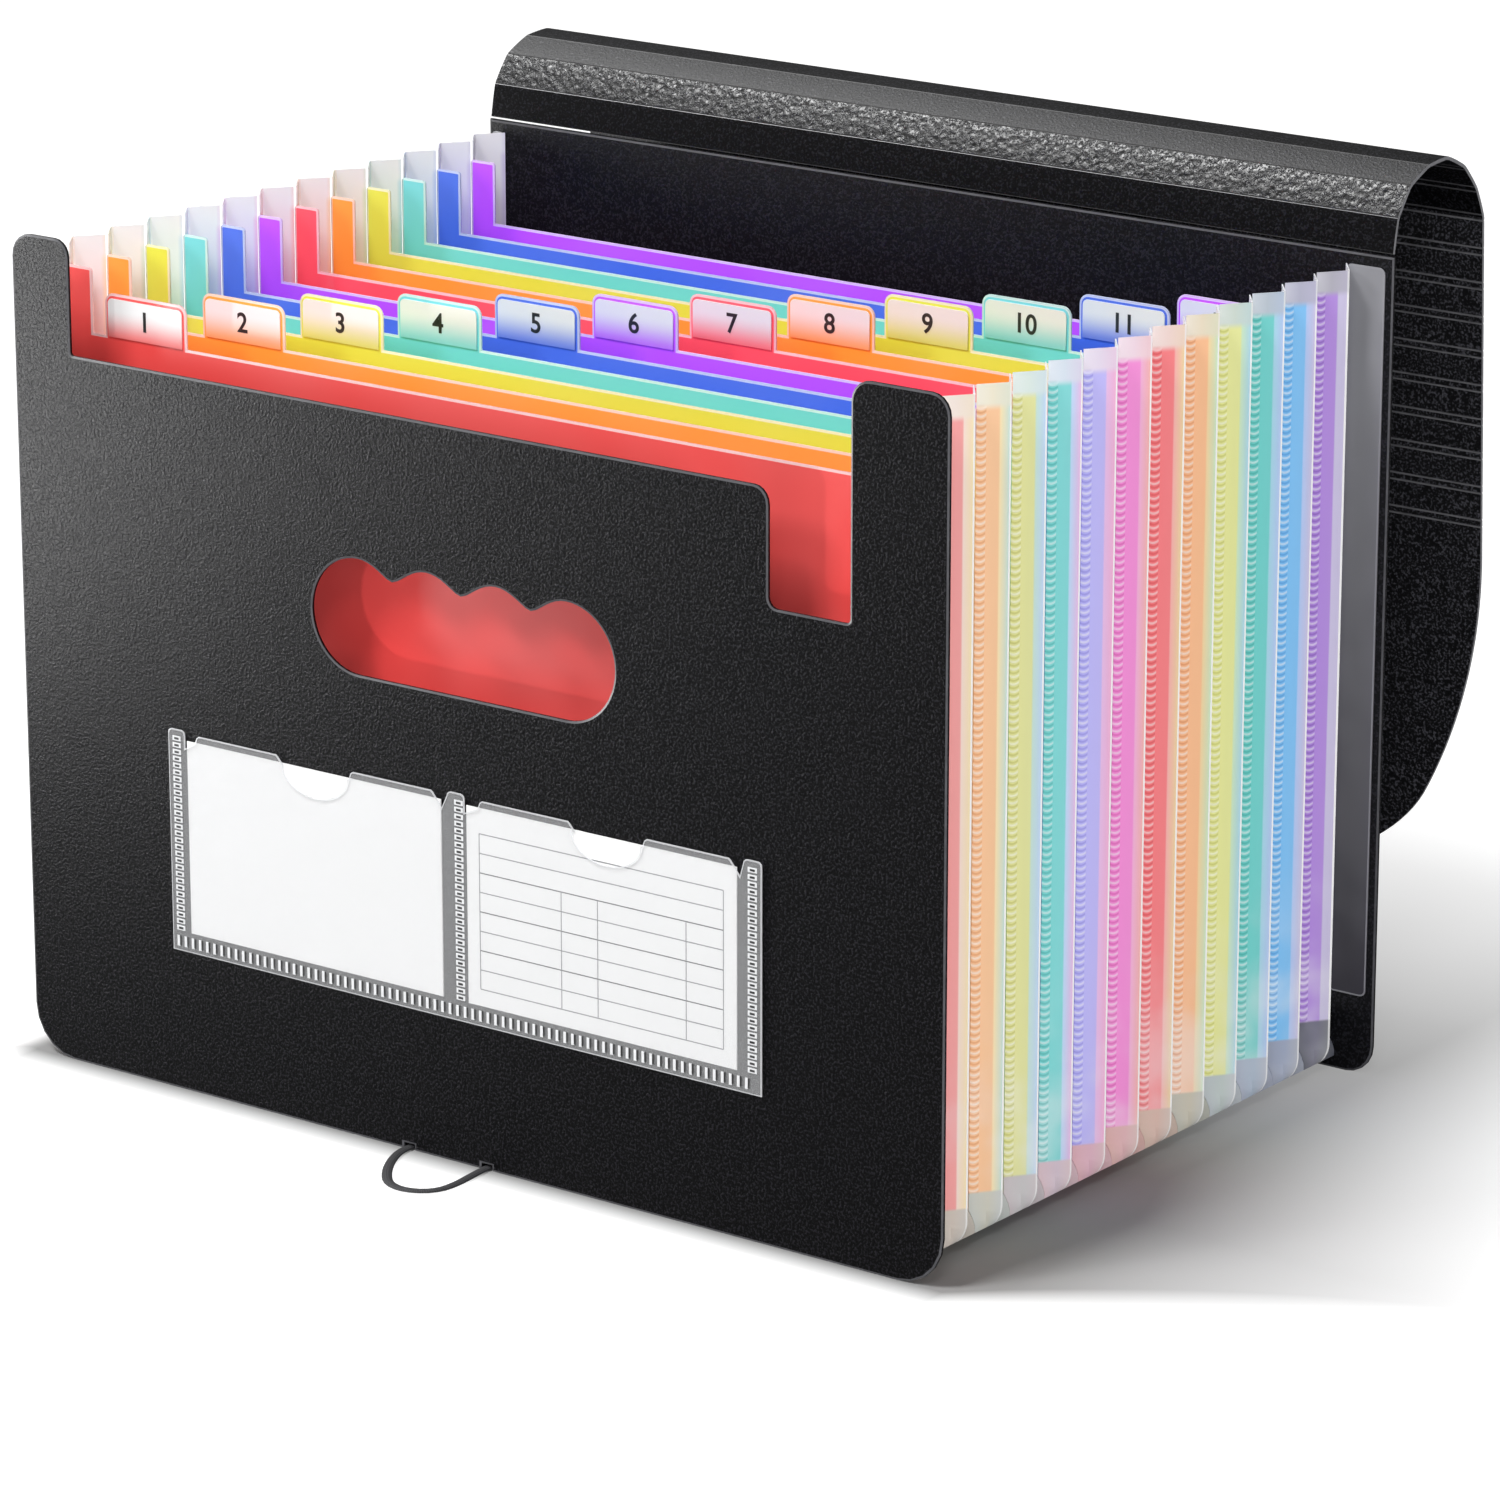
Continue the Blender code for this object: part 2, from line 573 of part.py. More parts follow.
def build_button(panel, place, turn):
    """Button on the flap's outer face: a cap on a stem through the panel, held by a washer."""
    skin = FLAP_THICKNESS / 2
    cap_low = skin + BUTTON_STANDOFF
    cap_high = cap_low + BUTTON_CAP_HEIGHT
    stem_end = -(skin + 2 * CLEARANCE + WASHER_THICKNESS)
    edge = BUTTON_RADIUS - BUTTON_EDGE_BREAK
    hole_radius = BUTTON_STEM_RADIUS + CLEARANCE
    button = turned_mesh(
        [
            (0, stem_end),
            (BUTTON_STEM_RADIUS, stem_end),
            (BUTTON_STEM_RADIUS, cap_low),
            (edge, cap_low),
            (BUTTON_RADIUS, cap_low + BUTTON_EDGE_BREAK),
            (BUTTON_RADIUS, cap_high - BUTTON_EDGE_BREAK),
            (edge, cap_high),
            (0, cap_high),
        ]
    )
    washer = turned_mesh(
        [
            (hole_radius, -skin - CLEARANCE),
            (WASHER_RADIUS, -skin - CLEARANCE),
            (WASHER_RADIUS, -skin - CLEARANCE - WASHER_THICKNESS),
            (hole_radius, -skin - CLEARANCE - WASHER_THICKNESS),
        ]
    )
    reach = skin + CUT_OVERRUN
    drill = turned_mesh([(0, -reach), (hole_radius, -reach), (hole_radius, reach), (0, reach)])
    raise_by = FLAP_END_LENGTH - BUTTON_FROM_END
    for bm in (button, washer, drill):
        bmesh.ops.translate(bm, verts=bm.verts, vec=(0, 0, raise_by))
    add_object("closure_button", button, button_plastic, place, turn)
    add_object("button_washer", washer, button_plastic, place, turn)
    modify(panel, add_object("button_cutter", drill, cover_plastic, place, turn), "DIFFERENCE")


def smooth_route(points, samples):
    """Evenly spaced points on a smooth curve through the given ones."""
    dense = []
    padded = [2 * points[0] - points[1], *points, 2 * points[-1] - points[-2]]
    for a, b, c, d in zip(padded, padded[1:], padded[2:], padded[3:]):
        for step in range(samples):
            t = step / samples
            dense.append((2 * b + (c - a) * t + (2 * a - 5 * b + 4 * c - d) * t**2 + (3 * b - a - 3 * c + d) * t**3) / 2)
    dense.append(points[-1])
    travelled = [0]
    for one, other in zip(dense, dense[1:]):
        travelled.append(travelled[-1] + (other - one).length)
    route = []
    index = 0
    for step in range(samples + 1):
        target = travelled[-1] * step / samples
        while index < len(dense) - 2 and travelled[index + 1] < target:
            index += 1
        span = travelled[index + 1] - travelled[index]
        route.append(dense[index].lerp(dense[index + 1], (target - travelled[index]) / span))
    return route


def build_loop():
    """Elastic loop on the floor, whose two legs pass under the front cover to a strip behind it."""
    inner_face = COVER_THICKNESS + CLEARANCE
    foot_gap = LOOP_FLOOR_GAP + SHEET_GAP
    outline = [
        (LOOP_LEFT_LEG - ANCHOR_OVERHANG, foot_gap),
        (LOOP_RIGHT_LEG + ANCHOR_OVERHANG, foot_gap),
        (LOOP_RIGHT_LEG + ANCHOR_OVERHANG, foot_gap + ANCHOR_HEIGHT),
        (LOOP_LEFT_LEG - ANCHOR_OVERHANG, foot_gap + ANCHOR_HEIGHT),
    ]
    bm = sheet_mesh(outline, inner_face, inner_face + ANCHOR_THICKNESS)
    add_object("loop_anchor", bm, cover_plastic)

    points = [Vector((LOOP_LEFT_LEG, COVER_THICKNESS, LOOP_HEIGHT))]
    points += [Vector((x, y, LOOP_HEIGHT)) for x, y in LOOP_ROUTE]
    points += [Vector((LOOP_RIGHT_LEG, COVER_THICKNESS, LOOP_HEIGHT))]
    curve = bpy.data.curves.new("elastic_loop", "CURVE")
    curve.dimensions = "3D"
    curve.bevel_depth = LOOP_RADIUS
    curve.bevel_resolution = 2
    curve.use_fill_caps = True
    route = smooth_route(points, LOOP_SAMPLES)
    spline = curve.splines.new("POLY")
    spline.points.add(len(route) - 1)
    for target, point in zip(spline.points, route):
        target.co = (*point, 1)
    curve.materials.append(elastic)
    loop = bpy.data.objects.new("elastic_loop", curve)
    bpy.context.scene.collection.objects.link(loop)
    loop.parent = file_frame


for leftover in list(bpy.data.objects):
    bpy.data.objects.remove(leftover, do_unlink=True)

file_frame = bpy.data.objects.new("file_frame", None)
bpy.context.scene.collection.objects.link(file_frame)

cover_plastic = make_material("cover_plastic", (0.022, 0.022, 0.026), 0.42)
gusset_film = make_material("gusset_film", (0.78, 0.79, 0.80), 0.35, alpha=0.75)
label_paper = make_material("label_paper", (0.86, 0.86, 0.84), 0.6)
card_paper = make_material("card_paper", (0.88, 0.88, 0.87), 0.7)
clear_film = make_material("clear_film", (0.80, 0.81, 0.82), 0.12, alpha=0.35)
button_plastic = make_material("button_plastic", (0.03, 0.03, 0.034), 0.3)
elastic = make_material("elastic", (0.018, 0.018, 0.02), 0.8)

DIVIDER_COLOURS = (
    (0.85, 0.070, 0.070),
    (0.98, 0.280, 0.040),
    (0.85, 0.670, 0.060),
    (0.19, 0.720, 0.620),
    (0.06, 0.140, 0.700),
    (0.45, 0.060, 0.950),
    (0.85, 0.060, 0.120),
    (0.98, 0.280, 0.040),
    (0.85, 0.670, 0.060),
    (0.19, 0.720, 0.620),
    (0.06, 0.140, 0.700),
    (0.45, 0.060, 0.950),
)

build_front_cover()
build_back_cover()
for pocket_number in range(1, POCKET_COUNT + 1):
    build_gusset(pocket_number)
for divider_number in range(1, POCKET_COUNT):
    build_divider(divider_number, DIVIDER_COLOURS[(divider_number - 1) % len(DIVIDER_COLOURS)])
build_label_pocket()
rearmost = build_flap()
build_loop()

file_frame.location = (0, -(FILM_FRONT + rearmost) / 2, 0)
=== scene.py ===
"""Looks of an expanding file: covers, bellows, tabbed dividers, label pocket, scored flap and loop.

Metres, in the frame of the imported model. The front cover faces -Y.
"""

import logging
import math
from dataclasses import dataclass
from enum import Enum, IntEnum

import bmesh
import bpy
from mathutils import Matrix, Vector


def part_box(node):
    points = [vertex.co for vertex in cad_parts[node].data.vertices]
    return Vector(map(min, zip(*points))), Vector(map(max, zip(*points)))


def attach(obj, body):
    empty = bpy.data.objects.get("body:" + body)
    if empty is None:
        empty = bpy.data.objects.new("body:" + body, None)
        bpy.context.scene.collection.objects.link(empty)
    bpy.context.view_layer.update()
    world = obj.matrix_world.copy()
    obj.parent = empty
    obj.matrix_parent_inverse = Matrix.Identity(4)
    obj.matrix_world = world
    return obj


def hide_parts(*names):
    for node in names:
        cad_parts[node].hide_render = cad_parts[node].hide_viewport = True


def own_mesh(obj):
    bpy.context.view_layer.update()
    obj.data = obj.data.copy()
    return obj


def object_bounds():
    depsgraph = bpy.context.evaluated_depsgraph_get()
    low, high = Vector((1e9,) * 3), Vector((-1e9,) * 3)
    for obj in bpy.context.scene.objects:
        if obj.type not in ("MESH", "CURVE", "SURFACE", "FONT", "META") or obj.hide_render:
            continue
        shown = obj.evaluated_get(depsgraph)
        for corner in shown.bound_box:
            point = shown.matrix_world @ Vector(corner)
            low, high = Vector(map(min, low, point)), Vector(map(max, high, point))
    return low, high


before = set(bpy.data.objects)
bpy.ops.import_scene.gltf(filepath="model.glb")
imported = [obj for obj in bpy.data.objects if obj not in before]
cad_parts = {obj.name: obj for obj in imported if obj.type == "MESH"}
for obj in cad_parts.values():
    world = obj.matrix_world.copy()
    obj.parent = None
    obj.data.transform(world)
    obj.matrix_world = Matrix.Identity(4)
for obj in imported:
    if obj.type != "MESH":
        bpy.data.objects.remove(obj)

LOG = logging.getLogger("expanding_file")
CAD_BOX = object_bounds()
FRONT_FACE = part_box("front_cover")[0][1]
BACK_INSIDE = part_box("back_cover")[0][1]
MERGE_DISTANCE = 1e-6
UP = Vector((0, 0, 1))
FRONT = Vector((0, -1, 0))
BACK = Vector((0, 1, 0))
RIGHT = Vector((1, 0, 0))
ALONG_COSINE = 0.9
FLAT_COSINE = 0.999
FLAT_ANGLE = math.radians(0.5)
Mesh = bmesh.types.BMesh
Material = bpy.types.Material
Socket = bpy.types.NodeSocket
Tone = tuple[float, float, float, float]
Point = tuple[float, float, float]
Span = tuple[float, float]


class Slot(Enum):
    """Names of material slots of the record; nothing in this script uses them."""

    COVER = "cover_plastic"
    FILM = "gusset_film"
    CLEAR = "clear_film"
    LABEL = "label_paper"
    CARD = "card_paper"
    ELASTIC = "elastic"


class Coat(IntEnum):
    """Places of the finishes in the list that the flap's arch gets."""

    BOARD = 0
    EDGE = 1
    SCORE = 2
    WRINKLES = 3
    CREASE = 4
    LOW_BAND = 5
    LIT_BAND = 6


def tone(code: str) -> Tone:
    """Linear colour of a six-digit display code.

    Args:
        code: Display colour such as "F04A4A".

    Returns:
        Red, green, blue and a full alpha.
    """
    parts = [int(code[index : index + 2], 16) / 255 for index in (0, 2, 4)]
    linear = [part / 12.92 if part <= 0.04045 else ((part + 0.055) / 1.055) ** 2.4 for part in parts]
    return (*linear, 1.0)


def blend_tones(one: Tone, other: Tone, share: float) -> Tone:
    """Colour between two others, at share 1 the second one."""
    mixed = [a + (b - a) * share for a, b in zip(one[:3], other[:3])]
    return (*mixed, 1.0)


def curve_point(ends: tuple[Vector, Vector, Vector, Vector], share: float) -> Vector:
    """Point of a smooth curve through four others.

    Args:
        ends: The four points; the curve runs between the middle two.
        share: How far along it, from 0 to 1.

    Returns:
        The point.
    """
    a, b, c, d = ends
    cubic = (3 * b - a - 3 * c + d) * share**3
    return (2 * b + (c - a) * share + (2 * a - 5 * b + 4 * c - d) * share**2 + cubic) / 2


def add_object(name: str, data: bpy.types.ID) -> bpy.types.Object:
    """Puts an object into the scene.

    Args:
        name: Name of the object.
        data: Its mesh, curve, lamp or camera.

    Returns:
        The object.
    """
    made = bpy.data.objects.new(name, data)
    bpy.context.scene.collection.objects.link(made)
    return made


class Recipe:
    """Node tree of one material, written in short calls."""

    def __init__(self, name: str) -> None:
        """Starts a principled material.

        Args:
            name: Name of the material.
        """
        self.material = bpy.data.materials.new(name)
        self.material.use_nodes = True
        self.tree = self.material.node_tree
        self.shader = self.tree.nodes["Principled BSDF"]

    def add(self, kind: str, values: dict | None = None, **settings: object) -> bpy.types.Node:
        """Adds a node.

        Args:
            kind: Blender's type name of the node.
            values: Sockets or plain values by input name or number.
            **settings: Properties of the node.

        Returns:
            The new node.
        """
        node = self.tree.nodes.new(kind)
        for key, value in settings.items():
            setattr(node, key, value)
        for key, value in (values or {}).items():
            self.feed(node.inputs[key], value)
        return node

    def feed(self, socket: Socket, value: object) -> None:
        """Links a socket to another one, or sets its plain value.

        Args:
            socket: Input to fill.
            value: Output socket, number or colour.
        """
        if isinstance(value, Socket):
            self.tree.links.new(value, socket)
        else:
            socket.default_value = value

    def finish(self, **values: object) -> Material:
        """Fills the shader's inputs.

        Args:
            **values: Sockets or plain values, with underscores for the blanks of the input names.

        Returns:
            The finished material.
        """
        for key, value in values.items():
            self.feed(self.shader.inputs[key.replace("_", " ").title().replace("Ior", "IOR")], value)
        return self.material

    def place(self) -> Socket:
        """Position on the piece, in metres."""
        return self.add("ShaderNodeTexCoord").outputs["Object"]

    def axes(self, vector: Socket) -> tuple[Socket, ...]:
        """The three parts of a vector."""
        return tuple(self.add("ShaderNodeSeparateXYZ", {0: vector}).outputs)

    def math(self, operation: str, *values: object, clamp: bool = False) -> Socket:
        """Result of a named operation on sockets and numbers, kept from 0 to 1 if it says clamp."""
        inputs = dict(enumerate(values))
        return self.add("ShaderNodeMath", inputs, operation=operation, use_clamp=clamp).outputs[0]

    def times(self, one: object, other: object) -> Socket:
        """Product of two sockets or numbers."""
        return self.math("MULTIPLY", one, other)

    def between(self, value: Socket, low: float, high: float) -> Socket:
        """0 below a first value, 1 above a second one, and smooth between them."""
        inputs = {"Value": value, "From Min": low, "From Max": high}
        return self.add("ShaderNodeMapRange", inputs, interpolation_type="SMOOTHSTEP").outputs["Result"]

    def noise(self, place: Socket, size: float, detail: float = 2.0) -> Socket:
        """Cloudy pattern whose spots have about a given size in metres."""
        inputs = {"Vector": place, "Scale": 1 / size, "Detail": detail}
        return self.add("ShaderNodeTexNoise", inputs).outputs["Fac"]

    def mix(self, share: object, one: object, other: object, way: str = "MIX") -> Socket:
        """Colour mixed from two others.

        Args:
            share: Share of the second colour.
            one: First colour.
            other: Second colour.
            way: Blend type.

        Returns:
            The mixed colour's socket.
        """
        node = self.add("ShaderNodeMix", data_type="RGBA", blend_type=way)
        self.feed(node.inputs[0], share)
        self.feed(node.inputs[6], one)
        self.feed(node.inputs[7], other)
        return node.outputs[2]

    def ramp(self, value: object, stops: list[tuple[float, Tone]]) -> Socket:
        """Colour that runs through stops.

        Args:
            value: Place along the ramp, from 0 to 1.
            stops: Places and their colours, in order.

        Returns:
            The colour's socket.
        """
        node = self.add("ShaderNodeValToRGB", {0: value})
        elements = node.color_ramp.elements
        while len(elements) < len(stops):
            elements.new(1.0)
        for element, (place, colour) in zip(elements, stops):
            element.position = place
            element.color = colour
        return node.outputs["Color"]

    def bump(
        self, height: Socket, depth: float, strength: float = 1.0, under: object = None
    ) -> Socket:
        """Normal of a relief.

        Args:
            height: Relief from 0 to 1.
            depth: Its height in metres.
            strength: Share of the effect.
            under: Normal that it lies on, if any.

        Returns:
            The normal's socket.
        """
        node = self.add("ShaderNodeBump", {"Height": height, "Distance": depth, "Strength": strength})
        if under is not None:
            self.feed(node.inputs["Normal"], under)
        return node.outputs["Normal"]


class Finish:
    """Look of a surface."""

    def make(self, name: str) -> Material:
        """Makes the material.

        Args:
            name: Name that it gets.

        Returns:
            The material.
        """
        recipe = Recipe(name)
        self.paint(recipe)
        return recipe.material

    def paint(self, recipe: Recipe) -> None:
        """Paints the surface; each kind of finish has its own way."""
        raise NotImplementedError


@dataclass(frozen=True)
class GrainedPlastic(Finish):
    """Black board of the covers and the flap: a fine grain with paler specks, or deep wrinkles."""

    dark: str = "030304"
    pale: str = "222126"
    speck: float = 0.00075
    speck_range: Span = (0.48, 0.68)
    grain: float = 0.0008
    cells: str = ""
    fine_share: float = 0.4
    speck_gloss: float = 0.08
    depth: float = 0.0002
    strength: float = 0.8
    roughness: float = 0.38
    shine: float = 0.15

    def paint(self, recipe: Recipe) -> None:
        """Paints the surface.

        Args:
            recipe: Node tree that it fills.
        """
        place = recipe.place()
        specks = recipe.between(recipe.noise(place, self.speck, 3.0), *self.speck_range)
        colour = recipe.mix(specks, tone(self.dark), tone(self.pale))
        relief = recipe.noise(place, self.grain)
        if self.cells:
            cells = {"Vector": place, "Scale": 1 / self.grain}
            pebbles = recipe.add("ShaderNodeTexVoronoi", cells, feature=self.cells).outputs["Distance"]
            relief = recipe.math("ADD", pebbles, recipe.times(relief, self.fine_share))
        relief = recipe.math("ADD", relief, recipe.times(specks, self.fine_share))
        normal = recipe.bump(relief, self.depth, self.strength)
        gloss = recipe.math("ADD", recipe.times(specks, -self.speck_gloss), self.roughness)
        recipe.finish(base_color=colour, roughness=gloss, specular_ior_level=self.shine, normal=normal)


@dataclass(frozen=True)
class CutEdge(Finish):
    """Paler line painted along cut edges and score lines as a highlight, with darker worn spots."""

    colour: str = "58585C"
    roughness: float = 0.38
    spot: float = 0.004
    spot_black: float = 0.25

    def paint(self, recipe: Recipe) -> None:
        """Paints the surface.

        Args:
            recipe: Node tree that it fills.
        """
        wear = recipe.between(recipe.noise(recipe.place(), self.spot), 0.3, 0.7)
        base = tone(self.colour)
        colour = recipe.mix(wear, blend_tones(base, tone("000000"), self.spot_black), base)
        recipe.finish(base_color=colour, roughness=self.roughness)


@dataclass(frozen=True)
class ColouredSheet(Finish):
    """Smooth sheet of a divider, a little uneven in tone, with a faint painted glow of its own colour that
    stands in for light coming through it.
    """

    colour: str
    roughness: float = 0.42
    # Strength of the painted glow, an emission of the sheet's own colour.
    through: float = 0.13
    spot: float = 0.05
    spot_white: float = 0.035
    grain: float = 0.0012
    depth: float = 0.00003

    def paint(self, recipe: Recipe) -> None:
        """Paints the surface.

        Args:
            recipe: Node tree that it fills.
        """
        place = recipe.place()
        base = tone(self.colour)
        cloud = recipe.between(recipe.noise(place, self.spot), 0.3, 0.7)
        colour = recipe.mix(cloud, base, blend_tones(base, tone("FFFFFF"), self.spot_white))
        normal = recipe.bump(recipe.noise(place, self.grain), self.depth, 0.5)
        # Painted glow: the sheet emits its own colour, standing in for light that comes through it.
        recipe.finish(emission_color=colour, emission_strength=self.through)
        recipe.finish(base_color=colour, roughness=self.roughness, normal=normal)


@dataclass(frozen=True)
class FoldFilm(Finish):
    """Milky film of one bellows fold, with the flange of a divider showing through its front half.

    The piece's UV map runs once across the fold, from the front valley over the ridge to the
    back valley.
    """

    band: str
    pale: str
    ahead: str
    low_cut: float
    high_cut: float
    ladder_pitch: float = 0.0021
    ladder_start: float = 0.025
    ladder_end: float = 0.165
    band_end: float = 0.335
    ladder_curl: float = -0.12
    ridge_line: Span = (0.480, 0.520)
    ridge_edge: float = 0.006
    # Strength of the painted glow, an emission of the film's own colours.
    through: float = 0.12
    fade: float = 0.0018
    top: str = "F2EEEE"
    foot: str = "D3D5D8"
    milk: str = "F4F5F7"
    muted: float = 0.07
    cloud_size: float = 0.018
    # The film's haze clouds grow whiter toward the foot below cloud_top: a painted reflection on the milky
    # film.
    cloud_top: float = 0.075
    foot_cloud: float = 0.12
    main_cloud: float = 0.4
    # Shares of the painted highlight on the weld rungs and of the painted shade beside them.
    rung_share: float = 0.38
    shade_share: float = 0.5
    crumple_size: float = 0.03
    crumple_depth: float = 0.0006
    rung_depth: float = 0.00015
    roughness: float = 0.34

    def ridge(self, before: Tone, line: Tone, after: Tone) -> list[tuple[float, Tone]]:
        """Stops of the line along the ridge, with the tones before and after it."""
        low, high = self.ridge_line
        return [(low - self.ridge_edge, before), (low, line), (high, line), (high + self.ridge_edge, after)]

    def zones(self) -> list[list[tuple[float, Tone]]]:
        """Stops across the fold.

        Returns:
            Those of its main height, of its foot and of its bare top.
        """
        codes = (self.band, self.pale, self.ahead, self.foot, self.top, self.milk, "FFFFFF")
        band, pale, ahead, foot, top, milk, white = (tone(code) for code in codes)
        edge = blend_tones(milk, ahead, 0.55)
        to_pale, to_ahead = blend_tones(band, pale, 0.1), blend_tones(pale, ahead, 0.7)
        main = [(0.0, band), (self.band_end, to_pale), (self.band_end + 0.02, pale), (0.45, to_ahead)]
        main += [*self.ridge(ahead, white, milk), (0.88, milk), (0.93, edge), (1.0, ahead)]
        low_ridge = self.ridge(blend_tones(foot, milk, 0.2), blend_tones(foot, white, 0.75), foot)
        low = [(0.0, foot), (0.30, blend_tones(foot, pale, 0.2)), *low_ridge, (1.0, foot)]
        high_ridge = self.ridge(blend_tones(top, ahead, 0.3), blend_tones(top, white, 0.6), milk)
        high = [(0.0, blend_tones(top, milk, 0.35)), (0.25, top), *high_ridge, (0.9, milk), (1.0, edge)]
        return [main, low, high]

    def paint(self, recipe: Recipe) -> None:
        """Paints the surface.

        Args:
            recipe: Node tree that it fills.
        """
        place = recipe.place()
        z = recipe.axes(place)[2]
        across = recipe.axes(recipe.add("ShaderNodeUVMap", uv_map="fold").outputs["UV"])[0]
        milk, white = tone(self.milk), tone("FFFFFF")
        main, low, high = (recipe.ramp(across, stops) for stops in self.zones())
        cloud = recipe.between(recipe.noise(place, self.cloud_size), 0.35, 0.68)
        low = recipe.mix(recipe.times(cloud, self.foot_cloud), low, milk)
        # Whitish haze that grows toward the foot: painted reflection on the film.
        foot_reflection = recipe.times(cloud, recipe.between(z, self.cloud_top, self.low_cut))
        main = recipe.mix(recipe.times(foot_reflection, self.main_cloud), main, milk)
        above_foot = recipe.between(z, self.low_cut - self.fade / 4, self.low_cut + self.fade / 4)
        above_band = recipe.between(z, self.high_cut - self.fade, self.high_cut + self.fade / 3)
        colour = recipe.mix(above_band, recipe.mix(above_foot, low, main), high)
        in_ladder = recipe.math("LESS_THAN", across, self.ladder_end)
        in_ladder = recipe.times(in_ladder, recipe.math("GREATER_THAN", across, self.ladder_start))
        in_ladder = recipe.times(in_ladder, above_foot)
        in_ladder = recipe.times(in_ladder, recipe.math("SUBTRACT", 1.0, above_band))
        bulge = recipe.math("SUBTRACT", across, (self.ladder_start + self.ladder_end) / 2)
        curl = recipe.times(recipe.times(bulge, bulge), self.ladder_curl)
        wave = recipe.math("SINE", recipe.times(recipe.math("ADD", z, curl), 2 * math.pi / self.ladder_pitch))
        # The weld rungs give a painted highlight (white) on each rung and painted shade (a darker band tone)
        # beside it; the rungs are also raised as a bump.
        rungs = recipe.times(recipe.between(wave, 0.2, 0.85), in_ladder)
        shades = recipe.times(recipe.between(wave, -0.35, -0.9), in_ladder)
        colour = recipe.mix(recipe.times(rungs, self.rung_share), colour, white)
        deep = blend_tones(tone(self.band), tone("808080"), 0.3)
        shaded = recipe.mix(1.0, colour, deep, "MULTIPLY")
        colour = recipe.mix(recipe.times(shades, self.shade_share), colour, shaded)
        colour = recipe.mix(self.muted, colour, tone("000000"))
        crumple = recipe.bump(recipe.noise(place, self.crumple_size), self.crumple_depth, 0.35)
        normal = recipe.bump(rungs, self.rung_depth, 0.7, under=crumple)
        # Painted glow: the film emits its own colours, standing in for light that comes through it.
        recipe.finish(emission_color=colour, emission_strength=self.through)
        recipe.finish(base_color=colour, roughness=self.roughness, normal=normal)


@dataclass(frozen=True)
class Paper(Finish):
    """Matt card or label stock; a tint may rise from its lower edge."""

    colour: str = "F6F6F6"
    tint: str = "F6F6F6"
    tint_share: float = 0.0
    tint_low: float = 0.0
    tint_high: float = 0.001
    fibre: float = 0.0006
    fibre_tone: str = "C8C8C8"
    fibre_share: float = 0.04
    depth: float = 0.00002

    def paint(self, recipe: Recipe) -> None:
        """Paints the surface.

        Args:
            recipe: Node tree that it fills.
        """
        place = recipe.place()
        fibres = recipe.noise(place, self.fibre, 3.0)
        rise = recipe.between(recipe.axes(place)[2], self.tint_low, self.tint_high)
        stock = tone(self.colour)
        colour = recipe.mix(rise, blend_tones(stock, tone(self.tint), self.tint_share), stock)
        colour = recipe.mix(recipe.times(fibres, self.fibre_share), colour, tone(self.fibre_tone))
        normal = recipe.bump(fibres, self.depth, 0.4)
        recipe.finish(base_color=colour, roughness=0.6, normal=normal)


@dataclass(frozen=True)
class PlainPlastic(Finish):
    """Smooth moulded or printed surface of one tone, with soft paler spots."""

    colour: str
    roughness: float = 0.4
    alpha: float = 1.0
    spot: float = 0.003
    spot_white: float = 0.05
    # Share of white blended into the tone; where it is set, it is a painted highlight.
    whitened: float = 0.0

    def paint(self, recipe: Recipe) -> None:
        """Paints the surface.

        Args:
            recipe: Node tree that it fills.
        """
        white = tone("FFFFFF")
        base = blend_tones(tone(self.colour), white, self.whitened)
        cloud = recipe.noise(recipe.place(), self.spot)
        colour = recipe.mix(cloud, base, blend_tones(base, white, self.spot_white))
        recipe.finish(base_color=colour, roughness=self.roughness, alpha=self.alpha)


@dataclass(frozen=True)
class ClearFilm(PlainPlastic):
    """Greyish see-through film of the label pocket."""

    colour: str = "EAEBED"
    roughness: float = 0.2
    alpha: float = 0.163
    spot: float = 0.02
    spot_white: float = 0.08


@dataclass(frozen=True)
class WovenElastic(Finish):
    """Black elastic band with lengthwise ribs."""

    dark: str = "121214"
    pale: str = "3A3A3E"
    rib: float = 0.0005
    weave: float = 0.0006
    depth: float = 0.0001

    def paint(self, recipe: Recipe) -> None:
        """Paints the surface; the UV map runs along the band in metres.

        Args:
            recipe: Node tree that it fills.
        """
        across, along = recipe.axes(recipe.add("ShaderNodeUVMap", uv_map="band").outputs["UV"])[:2]
        ribs = recipe.math("SINE", recipe.times(across, 2 * math.pi / self.rib))
        weave = recipe.math("SINE", recipe.times(along, 2 * math.pi / self.weave))
        threads = recipe.between(recipe.math("ADD", ribs, weave), -1.5, 1.5)
        colour = recipe.mix(threads, tone(self.dark), tone(self.pale))
        normal = recipe.bump(threads, self.depth, 0.8)
        recipe.finish(base_color=colour, roughness=0.75, normal=normal)


def traced_copy(node: str) -> Mesh:
    """Welded copy of a CAD node, with its flat faces joined.

    Args:
        node: Name of the node.

    Returns:
        The copy as a bmesh.
    """
    bm = bmesh.new()
    bm.from_mesh(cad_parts[node].data)
    bmesh.ops.remove_doubles(bm, verts=bm.verts, dist=MERGE_DISTANCE)
    bmesh.ops.dissolve_limit(bm, angle_limit=FLAT_ANGLE, verts=bm.verts, edges=bm.edges)
    for face in bm.faces:
        face.material_index = 0
    return bm


